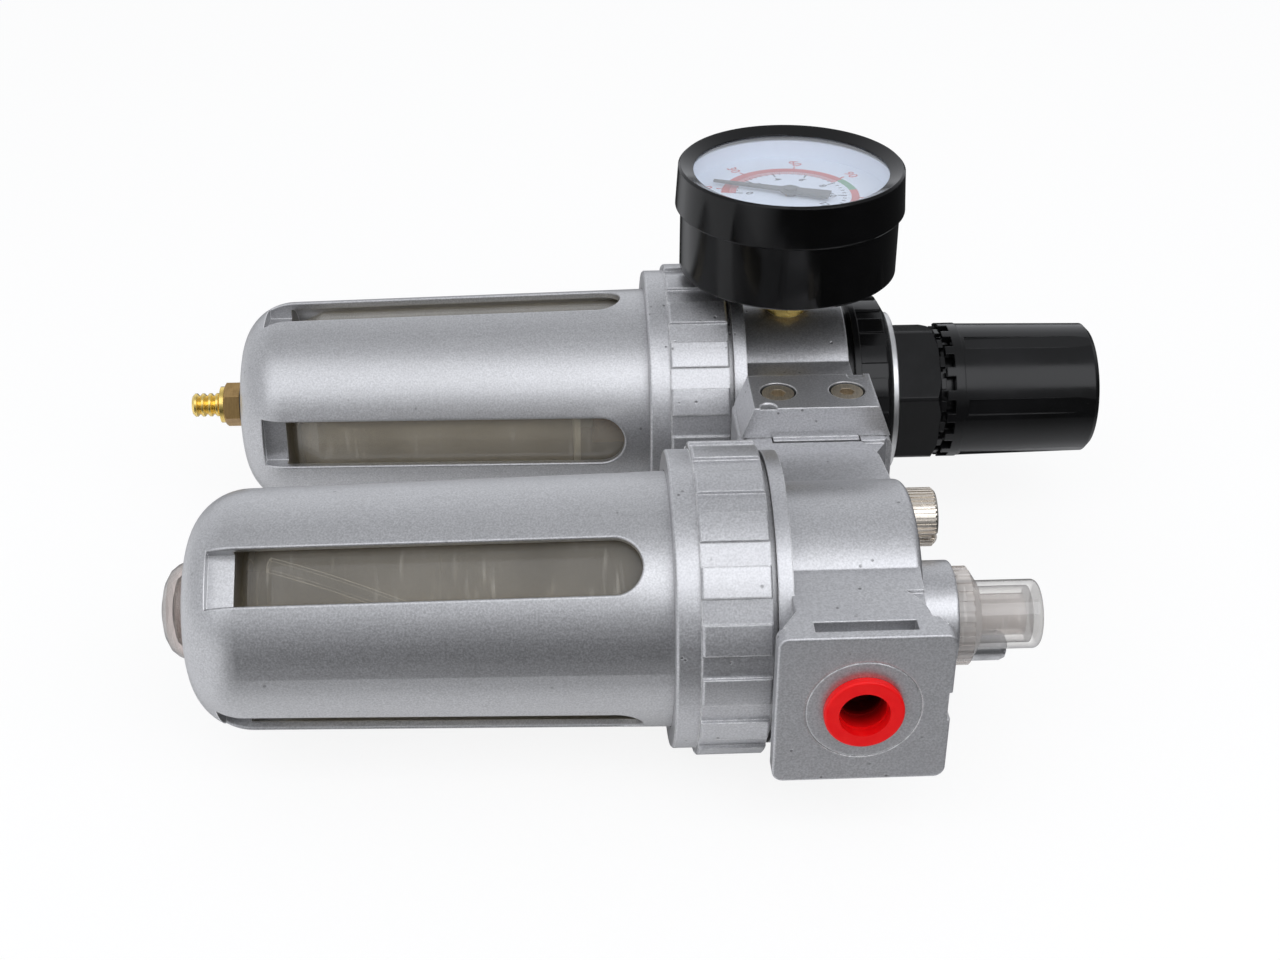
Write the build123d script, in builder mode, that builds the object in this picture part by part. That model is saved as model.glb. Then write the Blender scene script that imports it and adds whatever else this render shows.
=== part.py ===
"""Air-line service unit: a filter-regulator and a lubricator side by side.

Millimetres. +Z is up in use, +X is the way the air flows, -Y is the front.
The origin is the centre of the inlet port's mouth.
"""

import os
from math import cos, hypot, pi, radians, sin, sqrt

from build123d import *

os.makedirs("parts", exist_ok=True)

# Layout of the two modules
PITCH = 87.2                # between the two vertical module axes
HALF_WIDTH = 38.65          # module axis to port face
REG_X = HALF_WIDTH          # filter-regulator axis
LUB_X = REG_X + PITCH       # lubricator axis
MID_X = REG_X + PITCH / 2   # middle of the clamp
GAP = PITCH / 2 - HALF_WIDTH  # half of the space between the modules

# Cast body
BODY_R = 23.2
PORT_HALF = 16.6            # half of the square port flange
PORT_CORNER = 2.2
FLANGE_T = 3.7
BLOCK_HALF_Z = 12.4
BLOCK_FLARE_Z = 15.4        # half height where the block meets the flange
BLOCK_FLARE = 5.0           # length of that flare
BLOCK_IN = 5.0              # the block starts this far from the module axis
CAST_ROUND = 0.5            # general edge radius of the castings
SCALLOP_X = (32.5, -25.0)   # round face on each block, outlet and inlet side
SCALLOP_R = 12.7
SCALLOP_LEN = 8.8
SCALLOP_DEPTH = 0.8
SKIRT_R = 29.7
SKIRT_Z = (-15.0, -12.0)
SPIGOT_R = 28.0             # thread the collar runs on
SPIGOT_Z = -26.0
CAVITY_R = 24.4
REG_TOP = 12.4
LUB_TOP = 14.1
LUB_TOP_ROUND = 1.8
NECK_R = 20.45
NECK_TOP = 20.0

# Clamp slots behind each port flange
SLOT_IN = 2.05              # port face to slot
SLOT_W = 3.2
SLOT_DEPTH = 3.0
SLOT_LEN = 19.2

# Quarter-inch parallel pipe thread, drawn at its minor radius
PORT_R = 5.72
PORT_DEPTH = 12.0
AIR_R = 5.2
FACE_RING_R = 11.1          # turned ring round the port
FACE_RING_W = 0.3
FACE_RING_DEPTH = 0.15
NOTCH_Y = (-3.4, 2.9)       # relief in the top edge of the outlet flange
NOTCH_DEPTH = 0.7

# Collar that holds the bowl and the guard
COLLAR_Z = (-34.4, -29.6, -16.2)
COLLAR_FLANGE_R = 30.24
COLLAR_PAD_R = 31.8
COLLAR_GROOVE = 0.9
COLLAR_LIP_R = 26.1
COLLAR_LIP_TOP = -31.05
COLLAR_PADS = 18
COLLAR_GROOVE_ANGLE = 9.0
RUNNING = 0.06              # radial clearance of a running fit
COLLAR_CHAMFER = 0.4
FILTER_RING_TURN = 5.0
LUB_RING_TURN = 11.0
FACE_GAP = 0.05             # between faces that all but touch
SEAL_SLACK = 0.02

# Guard
GUARD_END = -129.6
GUARD_R_END = 24.03
GUARD_R_TOP = 25.92
GUARD_TOP_Z = -33.7
GUARD_WALL = 1.5
GUARD_FLOOR = -118.3
GUARD_ROUND = 12.0
GUARD_FLANGE_R = 27.9
GUARD_FLANGE_Z = (-31.0, -29.5)
WINDOW_W = 11.2
WINDOW_TOP = -40.15
WINDOW_BOTTOM = -123.4
WINDOW_DEPTH_R = 19.6       # flat that the window cutter leaves
WINDOW_COUNT = 4
REG_WINDOW_ANGLE = -4.0
LUB_WINDOW_ANGLE = -49.0
WINDOW_EDGE_R = 0.4
LUB_END_HOLE_R = 9.95
REG_END_HOLE_R = 5.8

# Bowls
BOWL_FLANGE_Z = (-29.45, -26.05)
BOWL_NECK_R = 23.2
BOWL_NECK_TOP = -18.0
BOWL_R_TOP = 23.6
BOWL_R_END = 21.9
BOWL_WALL = 2.1
BOWL_END = -117.8
BOWL_ROUND = 7.0
LENS_R = 9.7
LENS_RIM_Z = -131.2
LENS_TIP_Z = -135.5
LENS_OUTSIDE = ((0, 0), (3.4, 0.2), (6.2, 0.9), (8.2, 2.0), (9.3, 3.4))
LENS_INSIDE = ((6.6, 3.2), (4.2, 2.5))  # radius, height above the tip
DRAIN_BOSS_R = 5.6
SEAL_R = 0.58               # bowl seal section radius
SEAL_Z = -22.0

# Drain cock under the filter bowl
DRAIN_STEM_R = 2.2
DRAIN_SEAT_R = 1.2
DRAIN_SEAT_Z = -119.0
DRAIN_WASHER_Z = (-131.2, -129.65)
DRAIN_WASHER_R = 4.9
DRAIN_NUT_Z = (-135.0, -131.25)
DRAIN_NUT_R = 5.3
DRAIN_NUT_TURN = 12.0
DRAIN_NUT_EDGE = 0.6
DRAIN_DISC_Z = (-136.1, -135.1)
DRAIN_DISC_R = 4.35
DRAIN_TIP = -142.9
BARB_R = 2.8
BARB_ROOT_R = 2.2
BARB_COUNT = 4
BARB_FORM = (0.35, 0.65, 0.97)  # crest start, crest end and foot of each barb
DRAIN_BORE_R = 1.0
DRAIN_SEAL_R = 0.32
DRAIN_SEAL_Z = -121.5
DRAIN_BORE_TOP = -123.5

# Regulator inside
STEM_R = 1.5
VALVE_R = 5.6
SEAT_R = 4.0
SEAT_Z = -6.0
CHAMBER_R = 8.5
CHAMBER_Z = (-3.0, 8.0)
VALVE_CHAMBER_R = 6.6
POCKET_R = 15.0
POCKET_Z = 16.0
DROP_X = 18.0
DROP_R = 3.2
DIAPHRAGM_T = 0.8
SENSING_R = 1.0             # feeds outlet pressure to the diaphragm
SENSING_IN = 1.5
VALVE_Z = (-8.4, -6.05)
GUIDE_R = 2.0
GUIDE_LEN = 6.0
VALVE_SPRING_LOW = -15.0
VALVE_SPRING_R = 4.2
VALVE_SPRING_WIRE = 0.4
VALVE_SPRING_TURNS = 4

# Deflector, filter element and baffle
DEFLECTOR_Z = (-21.0, -18.0)
DEFLECTOR_R = 20.6
DEFLECTOR_HUB_TOP = -15.0
TIE_R = 3.0
TIE_END = -48.0
GUIDE_SOCKET = (-18.0, -14.0)
VANES = 12
VANE_MEAN_R = 15.8
VANE_SIZE = (7.6, 1.8)
VANE_TURN = 35.0
VANE_PHASE = 15.0
VALVE_WAYS = 4
VALVE_WAY_R = 0.9
VALVE_WAY_MEAN_R = 4.7
VALVE_WAY_PHASE = 45.0
ELEMENT_Z = (-47.0, -21.05)
ELEMENT_R = (7.0, 11.0)
BAFFLE_Z = (-51.6, -50.2)
BAFFLE_R = 17.5
BAFFLE_HUB_R = 7.4
BAFFLE_HUB_TOP = -47.05

# Bonnet and its ring nut
RING_Z = (12.5, 13.9, 15.4, 21.4, 23.4)
RING_ROOT_R = 21.8
RING_FLANGE_R = 23.4
RING_PAD_R = 23.2
RING_TOP_R = 19.9
RING_BORE_R = 20.5
RING_LIP_R = 15.4
RING_GROOVE = 0.5
PLATE_R = 19.2
PLATE_Z = (23.45, 24.8)
PLATE_ROUND = 0.3
BONNET_FLANGE_T = 1.8
BONNET_HEX_R = 17.6
BONNET_HEX_Z = (24.85, 35.5)
BONNET_HEX_ANGLE = -20.7
BONNET_HEX_TRIM = 0.25      # taken off the hexagon's corners
BONNET_SHOULDER_R = 15.7    # top of the cone that breaks the hexagon's end
BONNET_SHOULDER_DROP = 2.0
BONNET_FLANGE_R = 20.3
BONNET_WAIST_R = 15.2
TOWER_R = 13.4
TOWER_TOP = 52.0
SPRING_ROOM_R = 11.2
SPRING_ROOM_TOP = 46.0
SCREW_R = 4.0
COLLET_R = 6.5
KEY_W = 2.2
KEY_DEPTH = 1.0
TEETH = 18
TOOTH_ANGLE = 7.0           # phase of the gaps in the knob's skirt
TOOTH_GAP = 3.4
BONNET_TOOTH_W = 2.6
BONNET_TOOTH_TOP = 36.7
TOOTH_R = (14.4, 15.5)

# Knob
KNOB_Z = (36.9, 38.9, 41.2, 73.7)
KNOB_R_BASE = 16.3
KNOB_R_TOP = 15.6
KNOB_WALL = 2.0
KNOB_BORE_R = 14.3
KNOB_STEP = 0.2
KNOB_ROUND = 1.2
KNOB_GAP_DEPTH = 2.4
KNOB_FLUTES = 6
KNOB_FLUTE_W = 3.8
KNOB_FLUTE_DEPTH = 0.45
KNOB_FLUTE_R = 16.0
KNOB_FLUTE_START = 0.8
KNOB_FLUTE_ANGLE = -12.0
KNOB_CROWN = 0.8
HUB_R = 7.5
HUB_Z = 54.0
HEX_FLAT = 8.0              # across flats of the screw's driving hexagon
HEX_LOW = 52.4
HEX_TOP = 66.0
HEX_SOCKET_TOP = 69.0
SCREW_LOW = 27.0
THRUST_Z = (44.45, 45.95)
HEX_CLEAR = 0.06

# Regulating spring and its nut
NUT_Z = (36.0, 40.0)
SPRING_WIRE = 0.8
SPRING_MEAN_R = 9.4
SPRING_TURNS = 3.75
PLATE_TOP = 22.3
PLATE_CLEAR = 0.4
PLATE_HUB = 1.6
NUT_CLEAR = 0.3

# Pressure gauge
GAUGE_Z = -0.9
BEZEL_FRONT = -59.15
BEZEL_BACK = -49.1
BEZEL_R = 25.92
BEZEL_R_BACK = 26.46
BEZEL_DISH = 1.4            # the bezel's face slopes in to the window
BEZEL_ROUND = 0.5
BEZEL_BACK_BREAK = (0.3, 0.4)
WINDOW_R = 22.4
CASE_R = 25.27
CASE_BACK = -34.0
CASE_WALL = 0.9
CASE_FLOOR = 1.4
CASE_ROUND = 0.5
GLASS_CLEAR = 0.1
GLASS_Y = (-57.5, -56.0)
DIAL_Y = (-51.7, -51.2)
DIAL_R = 24.0
DIAL_RIM_WALL = 0.6         # upturned rim that reaches the glass
POINTER_Y = (-53.0, -52.5)
POINTER_LEAN = 21.0         # from straight down, towards the inlet
POINTER_HALF = ((0.45, -18.3), (1.1, -2.0), (1.5, 0.0), (2.1, 9.2))
POINTER_HUB_R = 2.4
POINTER_CAP_R = 1.5
POINTER_CAP = 0.4
SPINDLE_R = 0.7
SPINDLE_END = -42.0
BEARING_CLEAR = 0.04
STEM_HEX_FLAT = 11.0
STEM_HEX_BACK = -24.0
STEM_THREAD_R = 4.85
STEM_END = -16.5
MOVEMENT_Y = (-48.0, -40.0)
MOVEMENT_R = 7.0
DIAL_POST_AT = 5.2
DIAL_POST_R = 0.9
STEM_HEX_BREAK = (2.0, 1.2)
STEM_BORE_R = 1.2
STEM_BORE_START = -36.0

# Lubricator head
DOME_X = LUB_X + 8.8
BOSS_R = 11.2
BOSS_TOP = 21.8
BOSS_ROUND = 0.6
BOSS_RECESS = 3.2
AIR_FEED_Z = 4.0            # drip passage down to the air bore
DOME_RING_R = 9.95
DOME_RING_SHOULDER = 25.1
DOME_RING_TOP = 27.0
DOME_RING_RIBS = 30
DOME_RIB_GAP = (1.0, 0.35)  # width and depth between ribs
DOME_R = 6.95
DOME_WALL = 1.2
DOME_SPIGOT_R = 7.35
DOME_TOP = 39.6
DOME_TOP_T = 2.0
DOME_ROUND = 1.2
DOME_FLANGE_R = 8.4
DOME_FLANGE_T = 1.25
DRIP_TUBE_R = 4.2
DRIP_TUBE_WALL = 1.2
DRIP_TUBE_FLOOR = 1.5
DRIP_TUBE_TOP = 36.6
FILLER_AT = (LUB_X - 9.6, -12.0)
FILLER_R = 6.1
FILLER_TOP = 21.1
FILLER_BREAK = 0.7
FILLER_SLOT = (1.2, 1.3)    # width and depth
FILLER_SLOT_TURN = 13.0
SEAL_GAP = 0.6              # room for the washer under the head
FILLER_SEAL_T = 0.54
FILLER_SEAL_W = 1.3
FILLER_THREAD_R = 3.95
FILLER_THREAD_END = 8.0
FILLER_KNURLS = 40
FILLER_RIB_GAP = (0.45, 0.35)
DRIP_AT = (LUB_X + 1.2, 13.2)
DRIP_R = 3.1
DRIP_TOP = 36.3
DRIP_HEAD_LOW = 1.2         # underside of the head above the body
DRIP_ROUND = (0.5, 1.6)
DRIP_SLOT = (0.8, 1.0)
DRIP_NEEDLE_R = 1.5
DRIP_NEEDLE_Z = (7.0, 9.0)
DRIP_HOLE_Z = 6.0
DRIP_SEAL = (2.08, 0.5)
SIPHON_AT = (LUB_X + 10.3, 7.6)
SIPHON_R = 1.5
SIPHON_BORE_R = 0.9
SIPHON_TOP = 18.0
SIPHON_STRAIGHT = -16.0
SIPHON_BENDS = ((10.4, 7.3, -34.0), (11.4, 1.0, -68.0), (8.7, -8.6, -94.0),
                (3.4, -12.6, -113.0))
SIPHON_EXIT = (-0.24, -0.17, -0.96)

# Clamp between the modules
CLAMP_TOP = 23.65
CLAMP_SEAT = PORT_HALF + 0.05
CLAMP_TOP_SIZE = (15.2, 27.0)
CLAMP_SEAT_SIZE = (15.8, 32.4)
JAW_IN = 7.1
JAW_OUT = 9.3
JAW_DEPTH = 2.7
JAW_LEN = 18.6
BOLT_Z = 7.55
BOLT_R = 2.0
BOLT_HOLE_R = 2.15
BOLT_HEAD_R = 3.5
BOLT_HEAD_H = 4.0
BOLT_SOCKET = 3.0
BOLT_SOCKET_DEPTH = 2.2
BOLT_END = 22.65
BOLT_RECESS_R = 4.0
BOLT_RECESS = 4.3
EJECTOR_R = 1.9
EJECTOR_DEPTH = 0.3
EJECTOR_AT = (6.9, 10.4)
LINK_R = 4.0
LINK_SEAL_R = 0.7
LINK_SEAL_MEAN = 5.4

# Transit plug in the outlet
PLUG_FLANGE_R = 7.6
PLUG_FLANGE_T = 1.6
PLUG_R = 5.65
PLUG_DEPTH = 9.5
PLUG_STEPS = ((4.85, 0.6), (4.55, 4.2), (4.25, 8.3))    # hollow: radius, depth
PLUG_ROUND = 0.5

UP = (0, 0, 1)
FLOW = (1, 0, 0)
BACK = (0, 1, 0)


def save(piece, name):
    piece.part.label = name
    export_step(piece.part, f"parts/{name}.step")


def rod(start, direction, length, radius, mode=Mode.ADD):
    """A round bar, or a drilled hole, from start along direction."""
    with BuildSketch(Plane(origin=start, z_dir=direction)) as outline:
        Circle(radius)
    extrude(outline.sketch, amount=length, mode=mode)


def box(low, high, mode=Mode.ADD):
    """A rectangular block between two corners."""
    size = [b - a for a, b in zip(low, high)]
    centre = tuple((a + b) / 2 for a, b in zip(low, high))
    with Locations(centre):
        Box(*size, mode=mode)


def turned(points, x=0.0, y=0.0, mode=Mode.ADD):
    """Revolves a closed outline of (radius, height) about a vertical axis."""
    plane = Plane(origin=(x, y, 0), x_dir=FLOW, z_dir=(0, -1, 0))
    with BuildSketch(plane) as outline:
        with BuildLine():
            Polyline(*points, close=True)
        make_face()
    revolve(outline.sketch, axis=Axis((x, y, 0), UP), mode=mode)


def turned_front(points, mode=Mode.ADD):
    """Revolves an outline of (radius, y) about the gauge's axis."""
    plane = Plane(origin=(REG_X, 0, GAUGE_Z), x_dir=FLOW, z_dir=UP)
    with BuildSketch(plane) as outline:
        with BuildLine():
            Polyline(*points, close=True)
        make_face()
    revolve(outline.sketch, axis=Axis((REG_X, 0, GAUGE_Z), BACK), mode=mode)


def o_ring(centre, direction, mean, section):
    """A round-section seal."""
    with Locations(Plane(origin=centre, z_dir=direction)):
        Torus(mean, section)


def grooves(x, y, radius, count, width, depth, z_span, phase=0.0):
    """Cuts straight grooves down the outside of a round part."""
    with BuildSketch(Plane(origin=(x, y, z_span[0]))) as outline:
        with PolarLocations(radius, count, phase):
            Rectangle(2 * depth, width)
    height = z_span[1] - z_span[0]
    extrude(outline.sketch, amount=height, mode=Mode.SUBTRACT)


def hexagon_prism(x, y, across_flats, z_span, phase=0.0, mode=Mode.ADD):
    with BuildSketch(Plane(origin=(x, y, z_span[0]))) as outline:
        RegularPolygon(across_flats / sqrt(3), 6, rotation=phase)
    extrude(outline.sketch, amount=z_span[1] - z_span[0], mode=mode)


def port_block(x, side, root_z=BLOCK_HALF_Z):
    """One square port flange, its neck into the body and its clamp slots."""
    face = x + side * HALF_WIDTH
    neck = x + side * (HALF_WIDTH - FLANGE_T)
    root = x + side * BLOCK_IN
    bend = neck - side * BLOCK_FLARE
    upper = [(root, root_z), (bend, BLOCK_HALF_Z), (neck, BLOCK_FLARE_Z)]
    lower = [(neck, -BLOCK_FLARE_Z), (bend, -BLOCK_HALF_Z), (root, -BLOCK_HALF_Z)]
    front_plane = Plane(origin=(0, -PORT_HALF, 0), x_dir=FLOW, z_dir=(0, -1, 0))
    with BuildSketch(front_plane) as block:
        with BuildLine():
            Polyline(*upper, *lower, close=True)
        make_face()
    extrude(block.sketch, amount=-2 * PORT_HALF)
    centre = x + SCALLOP_X[0 if side > 0 else 1]
    corner = (centre - SCALLOP_LEN, BLOCK_HALF_Z)
    with BuildSketch(front_plane) as scallop:
        with Locations((corner[0] + SCALLOP_LEN / 2, corner[1])):
            Rectangle(SCALLOP_LEN, BLOCK_HALF_Z)
        with Locations((centre, 0)):
            Circle(SCALLOP_R, mode=Mode.SUBTRACT)
    extrude(scallop.sketch, amount=-SCALLOP_DEPTH, mode=Mode.SUBTRACT)
    with BuildPart(mode=Mode.PRIVATE) as flange:
        with BuildSketch(Plane(origin=(neck, 0, 0), z_dir=(side, 0, 0))) as plate:
            RectangleRounded(2 * PORT_HALF, 2 * PORT_HALF, PORT_CORNER)
        extrude(plate.sketch, amount=FLANGE_T)
        mouth = flange.faces().sort_by(Axis.X)[-1 if side > 0 else 0]
        fillet(mouth.edges(), CAST_ROUND)
    add(flange.part)
    slot = sorted((face - side * SLOT_IN, face - side * (SLOT_IN + SLOT_W)))
    for front in (-1, 1):
        deep = sorted((front * (PORT_HALF - SLOT_DEPTH), front * (PORT_HALF + 1)))
        box(
            (slot[0], deep[0], -SLOT_LEN / 2),
            (slot[1], deep[1], SLOT_LEN / 2),
            mode=Mode.SUBTRACT,
        )


def face_ring(x, side):
    """The shallow turned ring round an outer port."""
    start = (x + side * (HALF_WIDTH - FACE_RING_DEPTH), 0, 0)
    with BuildSketch(Plane(origin=start, z_dir=(side, 0, 0))) as ring:
        Circle(FACE_RING_R)
        Circle(FACE_RING_R - FACE_RING_W, mode=Mode.SUBTRACT)
    extrude(ring.sketch, amount=1, mode=Mode.SUBTRACT)


def body_blank(x, top, round_r):
    """The turned outside of a module body, from the bowl thread up."""
    spigot = (SPIGOT_R, SPIGOT_Z, SKIRT_Z[0])
    turned(
        [(0, spigot[1]), (spigot[0], spigot[1]), (spigot[0], spigot[2]),
         (SKIRT_R, SKIRT_Z[0]), (SKIRT_R, SKIRT_Z[1]), (BODY_R, SKIRT_Z[1]),
         (BODY_R, top), (0, top)],
        x,
    )
    if round_r:
        rim = edges().filter_by(GeomType.CIRCLE).sort_by(Axis.Z)[-1]
        fillet(rim, round_r)


def collar(x, phase):
    """Ribbed collar nut that clamps the guard and bowl to the body."""
    low, flange_top, top = COLLAR_Z
    bore = SPIGOT_R + RUNNING
    bevel = COLLAR_CHAMFER
    turned(
        [(COLLAR_LIP_R, low), (COLLAR_FLANGE_R - bevel, low),
         (COLLAR_FLANGE_R, low + bevel), (COLLAR_FLANGE_R, flange_top),
         (COLLAR_PAD_R - bevel, flange_top), (COLLAR_PAD_R, flange_top + bevel),
         (COLLAR_PAD_R, top - bevel), (COLLAR_PAD_R - bevel, top),
         (bore, top), (bore, COLLAR_LIP_TOP), (COLLAR_LIP_R, COLLAR_LIP_TOP)],
        x,
    )
    width = 2 * COLLAR_PAD_R * sin(radians(COLLAR_GROOVE_ANGLE / 2))
    span = (flange_top, top)
    grooves(x, 0, COLLAR_PAD_R, COLLAR_PADS, width, COLLAR_GROOVE, span, phase)


def guard(x, end_hole, window_angle):
    """Metal guard round a bowl, with a thick end and four long windows."""
    flange_low, flange_top = GUARD_FLANGE_Z
    inner_top = GUARD_R_TOP - GUARD_WALL
    inner_end = GUARD_R_END - GUARD_WALL
    turned(
        [(end_hole, GUARD_END), (GUARD_R_END, GUARD_END),
         (GUARD_R_TOP, GUARD_TOP_Z), (GUARD_R_TOP, flange_low),
         (GUARD_FLANGE_R, flange_low), (GUARD_FLANGE_R, flange_top),
         (inner_top, flange_top), (inner_end, GUARD_FLOOR),
         (end_hole, GUARD_FLOOR)],
        x,
    )
    outer = edges().filter_by(GeomType.CIRCLE).filter_by(
        lambda e: abs(e.radius - GUARD_R_END) < 0.01
    )
    fillet(outer, GUARD_ROUND)
    straight_top = WINDOW_TOP - WINDOW_W / 2
    height = straight_top - WINDOW_BOTTOM
    for i in range(WINDOW_COUNT):
        turn = radians(window_angle + i * 360 / WINDOW_COUNT)
        out = (cos(turn), sin(turn), 0)
        start = (x + WINDOW_DEPTH_R * out[0], WINDOW_DEPTH_R * out[1], 0)
        plane = Plane(origin=start, x_dir=(-out[1], out[0], 0), z_dir=out)
        with BuildSketch(plane) as window:
            with Locations((0, WINDOW_BOTTOM + height / 2)):
                Rectangle(WINDOW_W, height)
            with Locations((0, straight_top)):
                Circle(WINDOW_W / 2)
        reach = GUARD_FLANGE_R - WINDOW_DEPTH_R
        extrude(window.sketch, amount=reach, mode=Mode.SUBTRACT)

    def on_rim(edge):
        spot = edge @ 0.5
        beside = WINDOW_BOTTOM < spot.Z < WINDOW_TOP + FACE_GAP
        return beside and hypot(spot.X - x, spot.Y) > inner_top

    fillet(edges().filter_by(on_rim), WINDOW_EDGE_R)


def bowl_blank(x, below):
    """Clear bowl. Below is the outline of its end, outside then inside."""
    flange_low, flange_top = BOWL_FLANGE_Z
    inner_top = BOWL_NECK_R - BOWL_WALL
    inner_end = BOWL_R_END - BOWL_WALL
    step = BOWL_ROUND * (1 - cos(pi / 4))
    inner_round = BOWL_ROUND - BOWL_WALL
    inner_step = inner_round * (1 - cos(pi / 4))
    inside_end = BOWL_END + BOWL_WALL
    outside, inside = below
    turned(
        outside
        + [(BOWL_R_END - BOWL_ROUND, BOWL_END),
           (BOWL_R_END - step, BOWL_END + step),
           (BOWL_R_END, BOWL_END + BOWL_ROUND), (BOWL_R_TOP, flange_low),
           (GUARD_FLANGE_R, flange_low), (GUARD_FLANGE_R, flange_top),
           (BOWL_NECK_R, flange_top), (BOWL_NECK_R, BOWL_NECK_TOP),
           (inner_top, BOWL_NECK_TOP), (inner_end, inside_end + inner_round),
           (inner_end - inner_step, inside_end + inner_step),
           (inner_end - inner_round, inside_end)]
        + inside,
        x,
    )


# Filter-regulator body: casting, air ways, valve seat and diaphragm pocket
with BuildPart() as regulator_body:
    body_blank(REG_X, REG_TOP, 0)
    rod((REG_X, 0, REG_TOP), UP, NECK_TOP - REG_TOP, NECK_R)
    for side in (-1, 1):
        port_block(REG_X, side)
    face_ring(REG_X, -1)
    cavity_height = SKIRT_Z[0] - SPIGOT_Z
    rod((REG_X, 0, SPIGOT_Z), UP, cavity_height, CAVITY_R, Mode.SUBTRACT)
    inlet = (REG_X - HALF_WIDTH, 0, 0)
    rod(inlet, FLOW, PORT_DEPTH, PORT_R, Mode.SUBTRACT)
    rod(inlet, FLOW, HALF_WIDTH - DROP_X, AIR_R, Mode.SUBTRACT)
    drop = (REG_X - DROP_X, 0, SKIRT_Z[0])
    rod(drop, UP, -SKIRT_Z[0], DROP_R, Mode.SUBTRACT)
    seat = (REG_X, 0, SKIRT_Z[0])
    rod(seat, UP, SEAT_Z - SKIRT_Z[0], VALVE_CHAMBER_R, Mode.SUBTRACT)
    rod(seat, UP, CHAMBER_Z[0] - SKIRT_Z[0], SEAT_R, Mode.SUBTRACT)
    chamber_h = CHAMBER_Z[1] - CHAMBER_Z[0]
    chamber = (REG_X, 0, CHAMBER_Z[0])
    rod(chamber, UP, chamber_h, CHAMBER_R, Mode.SUBTRACT)
    rod((REG_X, 0, 0), FLOW, HALF_WIDTH, AIR_R, Mode.SUBTRACT)
    stem_hole = (REG_X, 0, CHAMBER_Z[1])
    rod(stem_hole, UP, POCKET_Z, STEM_R + RUNNING, Mode.SUBTRACT)
    sensing = (REG_X + CHAMBER_R - SENSING_IN, 0, CHAMBER_Z[1])
    rod(sensing, UP, POCKET_Z, SENSING_R, Mode.SUBTRACT)
    pocket = (REG_X, 0, POCKET_Z)
    rod(pocket, UP, NECK_TOP - POCKET_Z, POCKET_R, Mode.SUBTRACT)
    gauge_port = (REG_X, -BODY_R, GAUGE_Z)
    rod(gauge_port, BACK, BODY_R, STEM_THREAD_R, Mode.SUBTRACT)
save(regulator_body, "regulator_body")

# Rubber diaphragm clamped between the neck and the bonnet
with BuildPart() as diaphragm:
    rod((REG_X, 0, NECK_TOP), UP, DIAPHRAGM_T, BONNET_FLANGE_R)
save(diaphragm, "diaphragm")

# Plate on the diaphragm that centres the regulating spring
with BuildPart() as pressure_plate:
    bottom = NECK_TOP + DIAPHRAGM_T
    thick = PLATE_TOP - bottom
    rod((REG_X, 0, bottom), UP, thick, SPRING_ROOM_R - PLATE_CLEAR)
    hub_r = SPRING_MEAN_R - SPRING_WIRE - PLATE_CLEAR
    rod((REG_X, 0, bottom), UP, thick + PLATE_HUB, hub_r)
save(pressure_plate, "pressure_plate")

# Ring nut round the bonnet, ribbed like the collars
with BuildPart() as bonnet_ring:
    z0, z1, z2, z3, z4 = RING_Z
    lip = NECK_TOP + DIAPHRAGM_T + BONNET_FLANGE_T + FACE_GAP
    turned(
        [(RING_BORE_R, z0), (RING_ROOT_R, z0), (RING_ROOT_R, z1),
         (RING_FLANGE_R, z1), (RING_FLANGE_R, z2), (RING_PAD_R, z2),
         (RING_PAD_R, z3), (RING_TOP_R, z4), (RING_LIP_R, z4),
         (RING_LIP_R, lip), (RING_BORE_R, lip)],
        REG_X,
    )
    width = 2 * RING_PAD_R * sin(radians(COLLAR_GROOVE_ANGLE / 2))
    grooves(REG_X, 0, RING_PAD_R, COLLAR_PADS, width, RING_GROOVE, (z2, z4))
save(bonnet_ring, "bonnet_ring")

# Bright plate between the ring nut and the bonnet's hexagon
with BuildPart() as bonnet_plate:
    rod((REG_X, 0, PLATE_Z[0]), UP, PLATE_Z[1] - PLATE_Z[0], PLATE_R)
    bore = BONNET_WAIST_R + RUNNING
    rod((REG_X, 0, PLATE_Z[0]), UP, PLATE_R, bore, Mode.SUBTRACT)
    rim = edges().filter_by(GeomType.CIRCLE).sort_by(Axis.Z)[-2:]
    fillet(rim.sort_by(SortBy.RADIUS)[-1], PLATE_ROUND)
save(bonnet_plate, "bonnet_plate")

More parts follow.
